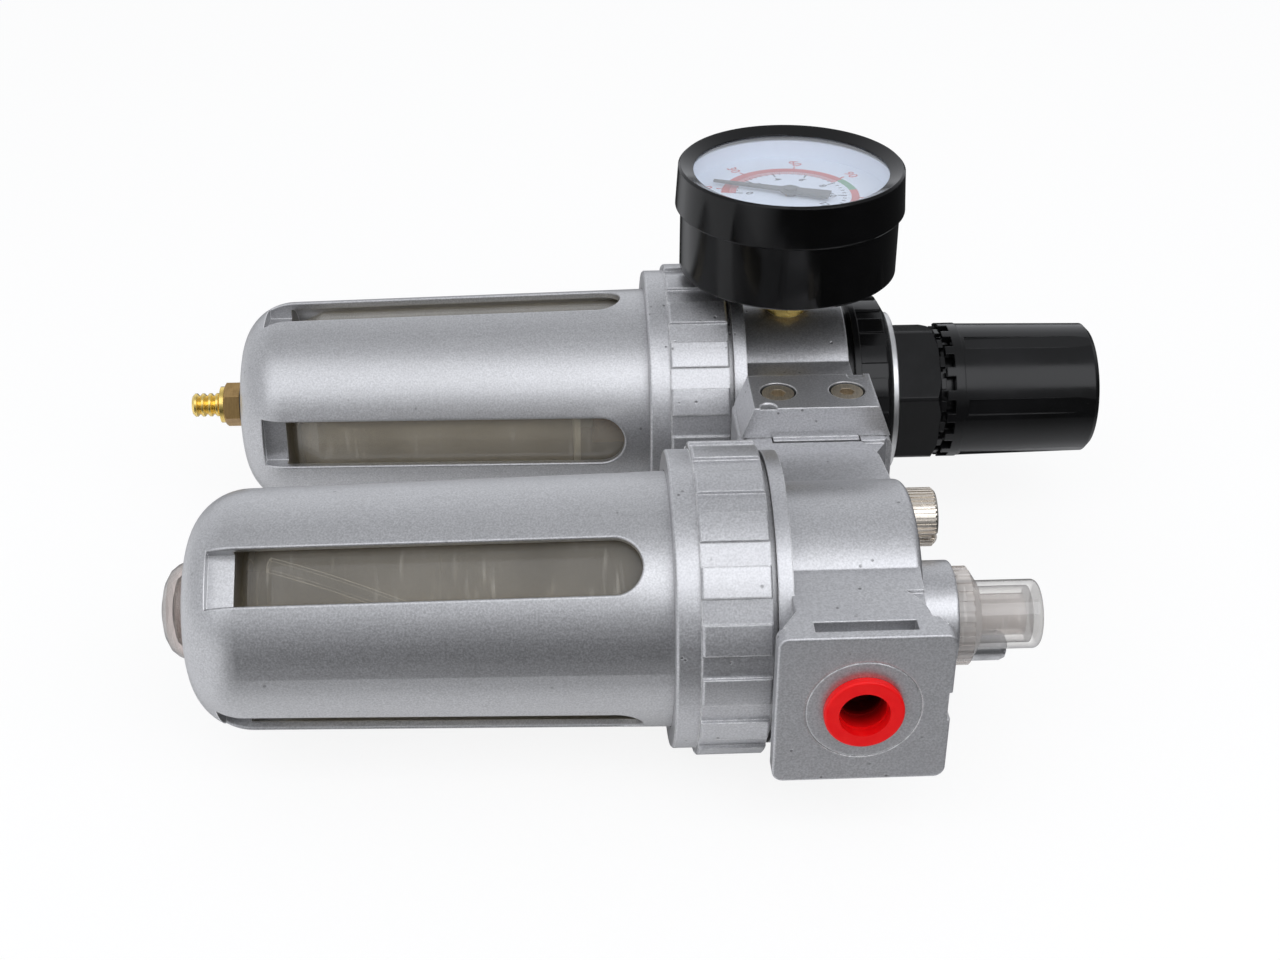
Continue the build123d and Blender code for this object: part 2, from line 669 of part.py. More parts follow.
# Bonnet: flange, hexagon, spring tower and the locking teeth
with BuildPart() as bonnet:
    flange_low = NECK_TOP + DIAPHRAGM_T
    rod((REG_X, 0, flange_low), UP, BONNET_FLANGE_T, BONNET_FLANGE_R)
    waist = BONNET_HEX_Z[0] - flange_low
    rod((REG_X, 0, flange_low), UP, waist, BONNET_WAIST_R)
    flats = BONNET_HEX_R * sqrt(3)
    hexagon_prism(REG_X, 0, flats, BONNET_HEX_Z, BONNET_HEX_ANGLE)
    hex_low, hex_top = BONNET_HEX_Z
    with BuildSketch(Plane(origin=(REG_X, 0, hex_low))):
        Circle(2 * BONNET_HEX_R)
        Circle(BONNET_HEX_R - BONNET_HEX_TRIM, mode=Mode.SUBTRACT)
    extrude(amount=hex_top - hex_low, mode=Mode.SUBTRACT)
    clear = BONNET_HEX_R + 1
    turned(
        [(clear, hex_top - BONNET_SHOULDER_DROP), (clear, TOWER_TOP),
         (BONNET_SHOULDER_R, TOWER_TOP), (BONNET_SHOULDER_R, hex_top)],
        REG_X,
        mode=Mode.SUBTRACT,
    )
    rod((REG_X, 0, flange_low), UP, TOWER_TOP - flange_low, TOWER_R)
    with BuildSketch(Plane(origin=(REG_X, 0, hex_top))):
        with PolarLocations(sum(TOOTH_R) / 2, TEETH, TOOTH_ANGLE):
            Rectangle(TOOTH_R[1] - TOOTH_R[0], BONNET_TOOTH_W)
    extrude(amount=BONNET_TOOTH_TOP - hex_top)
    room = SPRING_ROOM_TOP - flange_low
    rod((REG_X, 0, flange_low), UP, room, SPRING_ROOM_R, Mode.SUBTRACT)
    screw_hole = SCREW_R + RUNNING
    rod((REG_X, 0, flange_low), UP, TOWER_TOP, screw_hole, Mode.SUBTRACT)
    key_r = SPRING_ROOM_R + KEY_DEPTH
    key_y = KEY_W / 2 + RUNNING
    box(
        (REG_X - key_r, -key_y, flange_low),
        (REG_X + key_r, key_y, SPRING_ROOM_TOP),
        mode=Mode.SUBTRACT,
    )
save(bonnet, "bonnet")

# Adjusting screw: left-hand thread, thrust collar and driving hexagon
with BuildPart() as adjusting_screw:
    rod((REG_X, 0, SCREW_LOW), UP, HEX_LOW - SCREW_LOW, SCREW_R)
    thrust = (REG_X, 0, THRUST_Z[0])
    rod(thrust, UP, THRUST_Z[1] - THRUST_Z[0], COLLET_R)
    hexagon_prism(REG_X, 0, HEX_FLAT, (HEX_LOW, HEX_TOP))
save(adjusting_screw, "adjusting_screw")

# Nut that rides on the screw, keyed to the bonnet, and loads the spring
with BuildPart() as spring_nut:
    nut_r = SPRING_ROOM_R - NUT_CLEAR
    rod((REG_X, 0, NUT_Z[0]), UP, NUT_Z[1] - NUT_Z[0], nut_r)
    key_r = nut_r + KEY_DEPTH
    box(
        (REG_X - key_r, -KEY_W / 2, NUT_Z[0]),
        (REG_X + key_r, KEY_W / 2, NUT_Z[1]),
    )
    bore = SCREW_R + RUNNING
    rod((REG_X, 0, NUT_Z[0]), UP, NUT_Z[1], bore, Mode.SUBTRACT)
save(spring_nut, "spring_nut")


def coil(x, low, high, mean, wire, turns):
    """A compression spring of round wire."""
    rise = high - low - 2 * wire
    with BuildLine() as path:
        Helix(rise / turns, rise, mean, center=(x, 0, low + wire))
    with BuildSketch(Plane(origin=path.line @ 0, z_dir=path.line % 0)) as section:
        Circle(wire)
    sweep(section.sketch, path=path.line, is_frenet=True)


with BuildPart() as regulating_spring:
    coil(REG_X, PLATE_TOP, NUT_Z[0], SPRING_MEAN_R, SPRING_WIRE, SPRING_TURNS)
save(regulating_spring, "regulating_spring")

# Knob: skirt with locking gaps, fluted shell and the sliding drive hub
with BuildPart() as knob:
    tips, skirt_top, band_top, top = KNOB_Z
    turned(
        [(KNOB_BORE_R, tips), (KNOB_R_BASE, tips), (KNOB_R_BASE, band_top),
         (KNOB_R_BASE - KNOB_STEP, band_top), (KNOB_R_TOP, top - KNOB_ROUND),
         (KNOB_R_TOP - KNOB_ROUND, top), (0, top + KNOB_CROWN),
         (0, top - KNOB_WALL), (KNOB_R_TOP - KNOB_WALL, top - KNOB_WALL),
         (KNOB_BORE_R, band_top)],
        REG_X,
    )
    flutes = (band_top + KNOB_FLUTE_START, top + KNOB_CROWN)
    grooves(
        REG_X, 0, KNOB_FLUTE_R, KNOB_FLUTES, KNOB_FLUTE_W, KNOB_FLUTE_DEPTH,
        flutes, KNOB_FLUTE_ANGLE,
    )
    grooves(
        REG_X, 0, KNOB_R_BASE, TEETH, TOOTH_GAP, KNOB_GAP_DEPTH,
        (tips, skirt_top), TOOTH_ANGLE,
    )
    rod((REG_X, 0, HUB_Z), UP, top - KNOB_WALL - HUB_Z, HUB_R)
    socket = (HUB_Z, HEX_SOCKET_TOP)
    across = HEX_FLAT + 2 * HEX_CLEAR
    hexagon_prism(REG_X, 0, across, socket, mode=Mode.SUBTRACT)
save(knob, "knob")

# Poppet valve with its stem up to the diaphragm
with BuildPart() as valve_stem:
    disc_low, disc_top = VALVE_Z
    rod((REG_X, 0, disc_low), UP, disc_top - disc_low, VALVE_R)
    rod((REG_X, 0, disc_low), UP, NECK_TOP - FACE_GAP - disc_low, STEM_R)
    rod((REG_X, 0, disc_low - GUIDE_LEN), UP, GUIDE_LEN, GUIDE_R)
save(valve_stem, "valve_stem")

# Swirl deflector, which also guides the valve and carries the element
with BuildPart() as deflector:
    disc_low, disc_top = DEFLECTOR_Z
    hub_high = DEFLECTOR_HUB_TOP - disc_low
    rod((REG_X, 0, disc_low), UP, disc_top - disc_low, DEFLECTOR_R)
    rod((REG_X, 0, disc_low), UP, hub_high, VALVE_CHAMBER_R - RUNNING)
    rod((REG_X, 0, TIE_END), UP, disc_low - TIE_END, TIE_R)
    socket = (REG_X, 0, GUIDE_SOCKET[0])
    deep = GUIDE_SOCKET[1] - GUIDE_SOCKET[0]
    rod(socket, UP, deep, GUIDE_R + RUNNING, Mode.SUBTRACT)
    with BuildSketch(Plane(origin=(REG_X, 0, disc_low))):
        with PolarLocations(VANE_MEAN_R, VANES, VANE_PHASE):
            Rectangle(*VANE_SIZE, rotation=VANE_TURN)
        with PolarLocations(VALVE_WAY_MEAN_R, VALVE_WAYS, VALVE_WAY_PHASE):
            Circle(VALVE_WAY_R)
    extrude(amount=hub_high, mode=Mode.SUBTRACT)
save(deflector, "deflector")

with BuildPart() as valve_spring:
    coil(REG_X, VALVE_SPRING_LOW, VALVE_Z[0], VALVE_SPRING_R,
         VALVE_SPRING_WIRE, VALVE_SPRING_TURNS)
save(valve_spring, "valve_spring")

# Sintered filter element
with BuildPart() as filter_element:
    low, high = ELEMENT_Z
    rod((REG_X, 0, low), UP, high - low, ELEMENT_R[1])
    rod((REG_X, 0, low), UP, high - low, ELEMENT_R[0], Mode.SUBTRACT)
save(filter_element, "filter_element")

# Baffle that retains the element and shields the quiet zone
with BuildPart() as baffle:
    low, high = BAFFLE_Z
    rod((REG_X, 0, low), UP, high - low, BAFFLE_R)
    rod((REG_X, 0, low), UP, BAFFLE_HUB_TOP - low, BAFFLE_HUB_R)
    rod((REG_X, 0, TIE_END), UP, BAFFLE_HUB_TOP - TIE_END, TIE_R, Mode.SUBTRACT)
save(baffle, "baffle")

# Clear filter bowl, its boss passing through the guard's end
with BuildPart() as filter_bowl:
    bowl_blank(
        REG_X,
        ([(DRAIN_SEAT_R, DRAIN_SEAT_Z),
          (DRAIN_STEM_R + RUNNING, DRAIN_SEAT_Z),
          (DRAIN_STEM_R + RUNNING, GUARD_END), (DRAIN_BOSS_R, GUARD_END),
          (DRAIN_BOSS_R, BOWL_END)],
         [(DRAIN_SEAT_R, BOWL_END + BOWL_WALL)]),
    )
save(filter_bowl, "filter_bowl")

# Clear oil bowl, its convex end standing out of the guard as a sight glass
with BuildPart() as lubricator_bowl:
    lens_in = LENS_R - BOWL_WALL
    bowl_blank(
        LUB_X,
        ([(0, LENS_TIP_Z + BOWL_WALL)]
         + [(r, LENS_TIP_Z + h) for r, h in LENS_OUTSIDE]
         + [(LENS_R, LENS_RIM_Z), (LENS_R, BOWL_END)],
         [(lens_in, BOWL_END + BOWL_WALL), (lens_in, LENS_RIM_Z)]
         + [(r, LENS_TIP_Z + h) for r, h in LENS_INSIDE]),
    )
save(lubricator_bowl, "lubricator_bowl")

for name, x in (("filter_seal", REG_X), ("lubricator_seal", LUB_X)):
    with BuildPart() as bowl_seal:
        mean = (BOWL_NECK_R + CAVITY_R) / 2
        o_ring((x, 0, SEAL_Z), UP, mean, SEAL_R)
    save(bowl_seal, name)

with BuildPart() as filter_guard:
    guard(REG_X, REG_END_HOLE_R, REG_WINDOW_ANGLE)
save(filter_guard, "filter_guard")

with BuildPart() as lubricator_guard:
    guard(LUB_X, LUB_END_HOLE_R, LUB_WINDOW_ANGLE)
save(lubricator_guard, "lubricator_guard")

with BuildPart() as filter_ring:
    collar(REG_X, FILTER_RING_TURN)
save(filter_ring, "filter_ring")

with BuildPart() as lubricator_ring:
    collar(LUB_X, LUB_RING_TURN)
save(lubricator_ring, "lubricator_ring")

# Drain cock: sealing washer, fixed nut, turning barb and its seal
with BuildPart() as drain_washer:
    low, high = DRAIN_WASHER_Z
    rod((REG_X, 0, low), UP, high - low, DRAIN_WASHER_R)
    bore = DRAIN_STEM_R + 2 * RUNNING
    rod((REG_X, 0, low), UP, high - low, bore, Mode.SUBTRACT)
save(drain_washer, "drain_washer")

with BuildPart() as drain_nut:
    low, high = DRAIN_NUT_Z
    flats = DRAIN_NUT_R * sqrt(3)
    hexagon_prism(REG_X, 0, flats, (low, high), DRAIN_NUT_TURN)
    edge = DRAIN_NUT_R - DRAIN_NUT_EDGE
    turned(
        [(edge, low - 1), (DRAIN_NUT_R + 1, low - 1),
         (DRAIN_NUT_R + 1, low + 1), (edge, low)],
        REG_X,
        mode=Mode.SUBTRACT,
    )
    bore = DRAIN_STEM_R + RUNNING
    rod((REG_X, 0, low), UP, high - low, bore, Mode.SUBTRACT)
save(drain_nut, "drain_nut")

with BuildPart() as drain_barb:
    ridge = (DRAIN_DISC_Z[0] - DRAIN_TIP) / BARB_COUNT
    crest_low, crest_high, foot = [ridge * share for share in BARB_FORM]
    outline = [(0, DRAIN_TIP)]
    for i in range(BARB_COUNT):
        low = DRAIN_TIP + i * ridge
        outline += [(BARB_ROOT_R, low), (BARB_R, low + crest_low),
                    (BARB_R, low + crest_high), (BARB_ROOT_R, low + foot)]
    groove_r = DRAIN_STEM_R - 2 * DRAIN_SEAL_R
    groove_half = DRAIN_SEAL_R + SEAL_SLACK
    groove = (DRAIN_SEAL_Z - groove_half, DRAIN_SEAL_Z + groove_half)
    seat = DRAIN_SEAT_Z - FACE_GAP
    outline += [
        (BARB_ROOT_R, DRAIN_DISC_Z[0]), (DRAIN_DISC_R, DRAIN_DISC_Z[0]),
        (DRAIN_DISC_R, DRAIN_DISC_Z[1]), (DRAIN_STEM_R, DRAIN_DISC_Z[1]),
        (DRAIN_STEM_R, groove[0]), (groove_r, groove[0]),
        (groove_r, groove[1]), (DRAIN_STEM_R, groove[1]),
        (DRAIN_STEM_R, seat), (0, seat),
    ]
    turned(outline, REG_X)
    deep = DRAIN_BORE_TOP - DRAIN_TIP
    rod((REG_X, 0, DRAIN_TIP), UP, deep, DRAIN_BORE_R, Mode.SUBTRACT)
save(drain_barb, "drain_barb")

with BuildPart() as drain_seal:
    section = DRAIN_SEAL_R - SEAL_SLACK
    mean = DRAIN_STEM_R - section
    o_ring((REG_X, 0, DRAIN_SEAL_Z), UP, mean, section)
save(drain_seal, "drain_seal")

# Pressure gauge
with BuildPart() as gauge_case:
    front = GLASS_Y[1] + FACE_GAP
    floor = CASE_BACK - CASE_FLOOR
    inner = CASE_R - CASE_WALL
    turned_front(
        [(0, CASE_BACK), (CASE_R - CASE_ROUND, CASE_BACK),
         (CASE_R, CASE_BACK - CASE_ROUND), (CASE_R, front), (inner, front),
         (inner, floor), (0, floor)]
    )
    rod((REG_X, floor, GAUGE_Z), BACK, CASE_FLOOR, STEM_THREAD_R, Mode.SUBTRACT)
save(gauge_case, "gauge_case")

with BuildPart() as gauge_bezel:
    turned_front(
        [(WINDOW_R, BEZEL_FRONT + BEZEL_DISH),
         (BEZEL_R - BEZEL_ROUND, BEZEL_FRONT),
         (BEZEL_R, BEZEL_FRONT + BEZEL_ROUND),
         (BEZEL_R_BACK, BEZEL_BACK - BEZEL_BACK_BREAK[1]),
         (BEZEL_R_BACK - BEZEL_BACK_BREAK[0], BEZEL_BACK), (CASE_R, BEZEL_BACK),
         (CASE_R, GLASS_Y[0]), (WINDOW_R, GLASS_Y[0])]
    )
save(gauge_bezel, "gauge_bezel")

with BuildPart() as gauge_glass:
    start = (REG_X, GLASS_Y[0], GAUGE_Z)
    rod(start, BACK, GLASS_Y[1] - GLASS_Y[0], CASE_R - GLASS_CLEAR)
save(gauge_glass, "gauge_glass")

with BuildPart() as gauge_dial:
    rim_front = GLASS_Y[1] + FACE_GAP
    rim_inner = DIAL_R - DIAL_RIM_WALL
    turned_front(
        [(POINTER_CAP_R, DIAL_Y[1]), (DIAL_R, DIAL_Y[1]), (DIAL_R, rim_front),
         (rim_inner, rim_front), (rim_inner, DIAL_Y[0]),
         (POINTER_CAP_R, DIAL_Y[0])]
    )
save(gauge_dial, "gauge_dial")

# Pointer at zero, with a slender shaft and a broad tail
with BuildPart() as gauge_pointer:
    lean = radians(POINTER_LEAN)
    across = (cos(lean), 0, -sin(lean))
    centre = (REG_X, POINTER_Y[1], GAUGE_Z)
    with BuildSketch(Plane(origin=centre, x_dir=across, z_dir=(0, -1, 0))):
        other = [(-a, b) for a, b in reversed(POINTER_HALF)]
        with BuildLine():
            Polyline(*POINTER_HALF, *other, close=True)
        make_face()
        Circle(POINTER_HUB_R)
    extrude(amount=POINTER_Y[1] - POINTER_Y[0])
    cap = (REG_X, POINTER_Y[0] - POINTER_CAP, GAUGE_Z)
    rod(cap, BACK, POINTER_CAP, POINTER_CAP_R)
    rod(cap, BACK, SPINDLE_END - cap[1], SPINDLE_R)
save(gauge_pointer, "gauge_pointer")

# Movement frame with the spindle bearing
with BuildPart() as gauge_movement:
    start = (REG_X, MOVEMENT_Y[0], GAUGE_Z)
    rod(start, BACK, MOVEMENT_Y[1] - MOVEMENT_Y[0], MOVEMENT_R)
    bearing = SPINDLE_R + BEARING_CLEAR
    rod(start, BACK, MOVEMENT_Y[1] - MOVEMENT_Y[0], bearing, Mode.SUBTRACT)
    for dial_post in (-1, 1):
        post = (REG_X + dial_post * DIAL_POST_AT, DIAL_Y[1], GAUGE_Z)
        rod(post, BACK, MOVEMENT_Y[0] - DIAL_Y[1], DIAL_POST_R)
save(gauge_movement, "gauge_movement")

# Brass stem: spigot in the movement, hexagon and pipe thread
with BuildPart() as gauge_stem:
    start = (REG_X, MOVEMENT_Y[1], GAUGE_Z)
    rod(start, BACK, STEM_END - MOVEMENT_Y[1], STEM_THREAD_R - SEAL_SLACK)
    hex_front = CASE_BACK + FACE_GAP
    plane = Plane(origin=(REG_X, hex_front, GAUGE_Z), x_dir=FLOW, z_dir=BACK)
    with BuildSketch(plane):
        RegularPolygon(STEM_HEX_FLAT / sqrt(3), 6)
    extrude(amount=STEM_HEX_BACK - hex_front)
    edge = STEM_HEX_FLAT / 2
    wide = edge + STEM_HEX_BREAK[0]
    turned_front(
        [(edge, STEM_HEX_BACK), (wide, STEM_HEX_BACK - STEM_HEX_BREAK[1]),
         (wide, STEM_HEX_BACK)],
        mode=Mode.SUBTRACT,
    )
    start = (REG_X, STEM_BORE_START, GAUGE_Z)
    rod(start, BACK, STEM_END - STEM_BORE_START, STEM_BORE_R, Mode.SUBTRACT)
save(gauge_stem, "gauge_stem")

# Lubricator body: through bore, filler, siphon and drip passages
with BuildPart() as lubricator_body:
    body_blank(LUB_X, LUB_TOP, LUB_TOP_ROUND)
    for side in (-1, 1):
        port_block(LUB_X, side, LUB_TOP)
    face_ring(LUB_X, 1)
    rod((DOME_X, 0, 0), UP, BOSS_TOP, BOSS_R)
    rim = edges().filter_by(GeomType.CIRCLE).sort_by(Axis.Z)[-1]
    fillet(rim, BOSS_ROUND)
    rod((LUB_X, 0, SPIGOT_Z), UP, cavity_height, CAVITY_R, Mode.SUBTRACT)
    air_in = (LUB_X - HALF_WIDTH, 0, 0)
    rod(air_in, FLOW, 2 * HALF_WIDTH, AIR_R, Mode.SUBTRACT)
    outlet = (LUB_X + HALF_WIDTH, 0, 0)
    rod(outlet, (-1, 0, 0), PORT_DEPTH, PORT_R, Mode.SUBTRACT)
    box(
        (outlet[0] - FLANGE_T, NOTCH_Y[0], PORT_HALF - NOTCH_DEPTH),
        (outlet[0] + 1, NOTCH_Y[1], PORT_HALF + 1),
        mode=Mode.SUBTRACT,
    )
    through = LUB_TOP - SKIRT_Z[0]
    hole = (*FILLER_AT, SKIRT_Z[0])
    rod(hole, UP, through, FILLER_THREAD_R + RUNNING, Mode.SUBTRACT)
    hole = (*DRIP_AT, DRIP_HOLE_Z)
    rod(hole, UP, through, DRIP_NEEDLE_R + RUNNING, Mode.SUBTRACT)
    hole = (*SIPHON_AT, SKIRT_Z[0])
    recess = BOSS_TOP - BOSS_RECESS
    rod(hole, UP, recess - SKIRT_Z[0], SIPHON_R + RUNNING, Mode.SUBTRACT)
    rod((DOME_X, 0, AIR_FEED_Z), UP, BOSS_TOP, DRIP_NEEDLE_R, Mode.SUBTRACT)
    seat_r = DOME_SPIGOT_R + RUNNING
    rod((DOME_X, 0, recess), UP, BOSS_TOP, seat_r, Mode.SUBTRACT)
save(lubricator_body, "lubricator_body")

with BuildPart() as dome_ring:
    low = BOSS_TOP + FACE_GAP
    shoulder = low + DOME_FLANGE_T
    turned(
        [(DOME_FLANGE_R + RUNNING, low), (DOME_RING_R, low),
         (DOME_RING_R, DOME_RING_SHOULDER), (DOME_R + RUNNING, DOME_RING_TOP),
         (DOME_R + RUNNING, shoulder), (DOME_FLANGE_R + RUNNING, shoulder)],
        DOME_X,
    )
    gap_w, gap_deep = DOME_RIB_GAP
    ribs = (low, DOME_RING_SHOULDER)
    grooves(DOME_X, 0, DOME_RING_R, DOME_RING_RIBS, gap_w, gap_deep, ribs)
save(dome_ring, "dome_ring")

with BuildPart() as sight_dome:
    inner = DOME_R - DOME_WALL
    foot = BOSS_TOP - BOSS_RECESS + 2 * FACE_GAP
    low = BOSS_TOP + FACE_GAP
    high = low + DOME_FLANGE_T - FACE_GAP
    ceiling = DOME_TOP - DOME_TOP_T
    turned(
        [(inner, foot), (DOME_SPIGOT_R, foot), (DOME_SPIGOT_R, low),
         (DOME_FLANGE_R, low), (DOME_FLANGE_R, high), (DOME_R, high),
         (DOME_R, DOME_TOP), (0, DOME_TOP), (0, ceiling), (inner, ceiling)],
        DOME_X,
    )
    fillet(edges().filter_by(GeomType.CIRCLE).sort_by(Axis.Z)[-1], DOME_ROUND)
save(sight_dome, "sight_dome")

with BuildPart() as drip_tube:
    low = BOSS_TOP - BOSS_RECESS + FACE_GAP
    floor = low + DRIP_TUBE_FLOOR
    bore = DRIP_TUBE_R - DRIP_TUBE_WALL
    rod((DOME_X, 0, low), UP, DRIP_TUBE_TOP - low, DRIP_TUBE_R)
    rod((DOME_X, 0, floor), UP, DRIP_TUBE_TOP - floor, bore, Mode.SUBTRACT)
    rod((DOME_X, 0, low), UP, DRIP_TUBE_FLOOR, DRIP_NEEDLE_R, Mode.SUBTRACT)
save(drip_tube, "drip_tube")

with BuildPart() as siphon_tube:
    top = (*SIPHON_AT, SIPHON_TOP)
    bend = (*SIPHON_AT, SIPHON_STRAIGHT)
    points = [(LUB_X + a, b, c) for a, b, c in SIPHON_BENDS]
    with BuildLine() as siphon_path:
        Line(top, bend)
        Spline(bend, *points, tangents=[(0, 0, -1), SIPHON_EXIT])
    with BuildSketch(Plane(origin=top, z_dir=(0, 0, -1))):
        Circle(SIPHON_R)
        Circle(SIPHON_BORE_R, mode=Mode.SUBTRACT)
    sweep(path=siphon_path.wire())
save(siphon_tube, "siphon_tube")

# Drip-rate screw, its shaft ending in the metering needle
with BuildPart() as drip_screw:
    head_low = LUB_TOP + DRIP_HEAD_LOW
    near, far = DRIP_ROUND
    turned(
        [(0, DRIP_NEEDLE_Z[0]), (DRIP_NEEDLE_R, DRIP_NEEDLE_Z[1]),
         (DRIP_NEEDLE_R, head_low), (DRIP_R, head_low),
         (DRIP_R, DRIP_TOP - far), (DRIP_R - near, DRIP_TOP - near),
         (DRIP_R - far, DRIP_TOP), (0, DRIP_TOP)],
        *DRIP_AT,
    )
    slot_x, slot_y = DRIP_AT
    slot_w, slot_deep = DRIP_SLOT
    box(
        (slot_x - DRIP_R, slot_y - slot_w / 2, DRIP_TOP - slot_deep),
        (slot_x + DRIP_R, slot_y + slot_w / 2, DRIP_TOP),
        mode=Mode.SUBTRACT,
    )
save(drip_screw, "drip_screw")

with BuildPart() as drip_seal:
    o_ring((*DRIP_AT, LUB_TOP + SEAL_GAP), UP, *DRIP_SEAL)
save(drip_seal, "drip_seal")

# Knurled filler plug and its seal
with BuildPart() as filler_plug:
    head_low = LUB_TOP + SEAL_GAP
    turned(
        [(0, FILLER_THREAD_END), (FILLER_THREAD_R, FILLER_THREAD_END),
         (FILLER_THREAD_R, head_low), (FILLER_R, head_low),
         (FILLER_R, FILLER_TOP - FILLER_BREAK),
         (FILLER_R - FILLER_BREAK, FILLER_TOP), (0, FILLER_TOP)],
        *FILLER_AT,
    )
    gap_w, gap_deep = FILLER_RIB_GAP
    ribs = (head_low, FILLER_TOP)
    grooves(*FILLER_AT, FILLER_R, FILLER_KNURLS, gap_w, gap_deep, ribs)
    slot_w, slot_deep = FILLER_SLOT
    with BuildSketch(Plane(origin=(*FILLER_AT, FILLER_TOP))):
        Rectangle(3 * FILLER_R, slot_w, rotation=FILLER_SLOT_TURN)
    extrude(amount=-slot_deep, mode=Mode.SUBTRACT)
save(filler_plug, "filler_plug")

with BuildPart() as filler_seal:
    low = (*FILLER_AT, LUB_TOP + SEAL_SLACK)
    rod(low, UP, FILLER_SEAL_T, FILLER_THREAD_R + FILLER_SEAL_W)
    bore = FILLER_THREAD_R + RUNNING
    rod(low, UP, FILLER_SEAL_T, bore, Mode.SUBTRACT)
save(filler_seal, "filler_seal")

# Block that carries the air from one module to the next
with BuildPart() as interface_block:
    low, high = MID_X - GAP, MID_X + GAP
    box((low, -PORT_HALF, -PORT_HALF), (high, PORT_HALF, PORT_HALF))
    fillet(edges().filter_by(Axis.X), PORT_CORNER)
    rod((low, 0, 0), FLOW, 2 * GAP, LINK_R, Mode.SUBTRACT)
    for level in (-BOLT_Z, BOLT_Z):
        hole = (MID_X, -PORT_HALF, level)
        rod(hole, BACK, 2 * PORT_HALF, BOLT_HOLE_R, Mode.SUBTRACT)
    for side in (-1, 1):
        start = (MID_X + side * (GAP - 2 * LINK_SEAL_R), 0, 0)
        with BuildSketch(Plane(origin=start, z_dir=(side, 0, 0))):
            Circle(LINK_SEAL_MEAN + LINK_SEAL_R)
            Circle(LINK_SEAL_MEAN - LINK_SEAL_R, mode=Mode.SUBTRACT)
        extrude(amount=2 * LINK_SEAL_R, mode=Mode.SUBTRACT)
save(interface_block, "interface_block")

with BuildPart() as interface_seals:
    for side in (-1, 1):
        centre = (MID_X + side * (GAP - LINK_SEAL_R), 0, 0)
        o_ring(centre, FLOW, LINK_SEAL_MEAN, LINK_SEAL_R - SEAL_SLACK)
save(interface_seals, "interface_seals")


def clamp_half(front):
    """One clamp half, front -1 or back 1, with the jaws for four slots."""
    out = (0, front, 0)
    ends = []
    for size, level in ((CLAMP_SEAT_SIZE, CLAMP_SEAT), (CLAMP_TOP_SIZE, CLAMP_TOP)):
        plane = Plane(origin=(MID_X, front * level, 0), x_dir=FLOW, z_dir=out)
        with BuildSketch(plane) as end:
            Rectangle(*size)
        ends.append(end.sketch.face())
    loft(ends)
    deep = sorted((front * CLAMP_SEAT, front * (PORT_HALF - JAW_DEPTH)))
    for side in (-1, 1):
        reach = max(JAW_OUT, CLAMP_SEAT_SIZE[0] / 2)
        jaw = sorted((MID_X + side * JAW_IN, MID_X + side * reach))
        box((jaw[0], deep[0], -JAW_LEN / 2), (jaw[1], deep[1], JAW_LEN / 2))


with BuildPart() as clamp_front:
    clamp_half(-1)
    for level in (-BOLT_Z, BOLT_Z):
        head = (MID_X, -CLAMP_TOP, level)
        rod(head, BACK, BOLT_RECESS, BOLT_RECESS_R, Mode.SUBTRACT)
        rod(head, BACK, CLAMP_TOP, BOLT_R, Mode.SUBTRACT)
    for sign in (-1, 1):
        mark = (MID_X + sign * EJECTOR_AT[0], -CLAMP_TOP, -sign * EJECTOR_AT[1])
        rod(mark, BACK, EJECTOR_DEPTH, EJECTOR_R, Mode.SUBTRACT)
save(clamp_front, "clamp_front")

with BuildPart() as clamp_back:
    clamp_half(1)
    for level in (-BOLT_Z, BOLT_Z):
        rod((MID_X, 0, level), BACK, CLAMP_TOP, BOLT_R, Mode.SUBTRACT)
save(clamp_back, "clamp_back")

with BuildPart() as clamp_screws:
    head_y = -CLAMP_TOP + BOLT_RECESS - BOLT_HEAD_H
    for level in (-BOLT_Z, BOLT_Z):
        head = (MID_X, head_y, level)
        rod(head, BACK, BOLT_HEAD_H, BOLT_HEAD_R)
        rod(head, BACK, BOLT_END - head_y, BOLT_R)
        with BuildSketch(Plane(origin=head, z_dir=BACK)):
            RegularPolygon(BOLT_SOCKET / sqrt(3), 6)
        extrude(amount=BOLT_SOCKET_DEPTH, mode=Mode.SUBTRACT)
save(clamp_screws, "clamp_screws")

# Soft transit plug in the outlet port
with BuildPart() as outlet_plug:
    face = LUB_X + HALF_WIDTH
    start = (face + FACE_GAP, 0, 0)
    rod(start, FLOW, PLUG_FLANGE_T, PLUG_FLANGE_R)
    rim = edges().filter_by(GeomType.CIRCLE).sort_by(Axis.X)[-1]
    fillet(rim, PLUG_ROUND)
    inner = (face - PLUG_DEPTH, 0, 0)
    rod(inner, FLOW, PLUG_DEPTH + PLUG_FLANGE_T, PLUG_R)
    for radius, deep in PLUG_STEPS:
        hollow = (face - deep, 0, 0)
        rod(hollow, FLOW, deep + 2 * PLUG_FLANGE_T, radius, Mode.SUBTRACT)
save(outlet_plug, "outlet_plug")
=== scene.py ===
"""Looks for the air-line service unit: a filter-regulator and a lubricator.

Metres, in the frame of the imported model: +Z up in use, +X the way the air
flows, -Y the front. The unit is shown lying on its back.
"""

import math

import bmesh
import bpy
from mathutils import Matrix, Vector


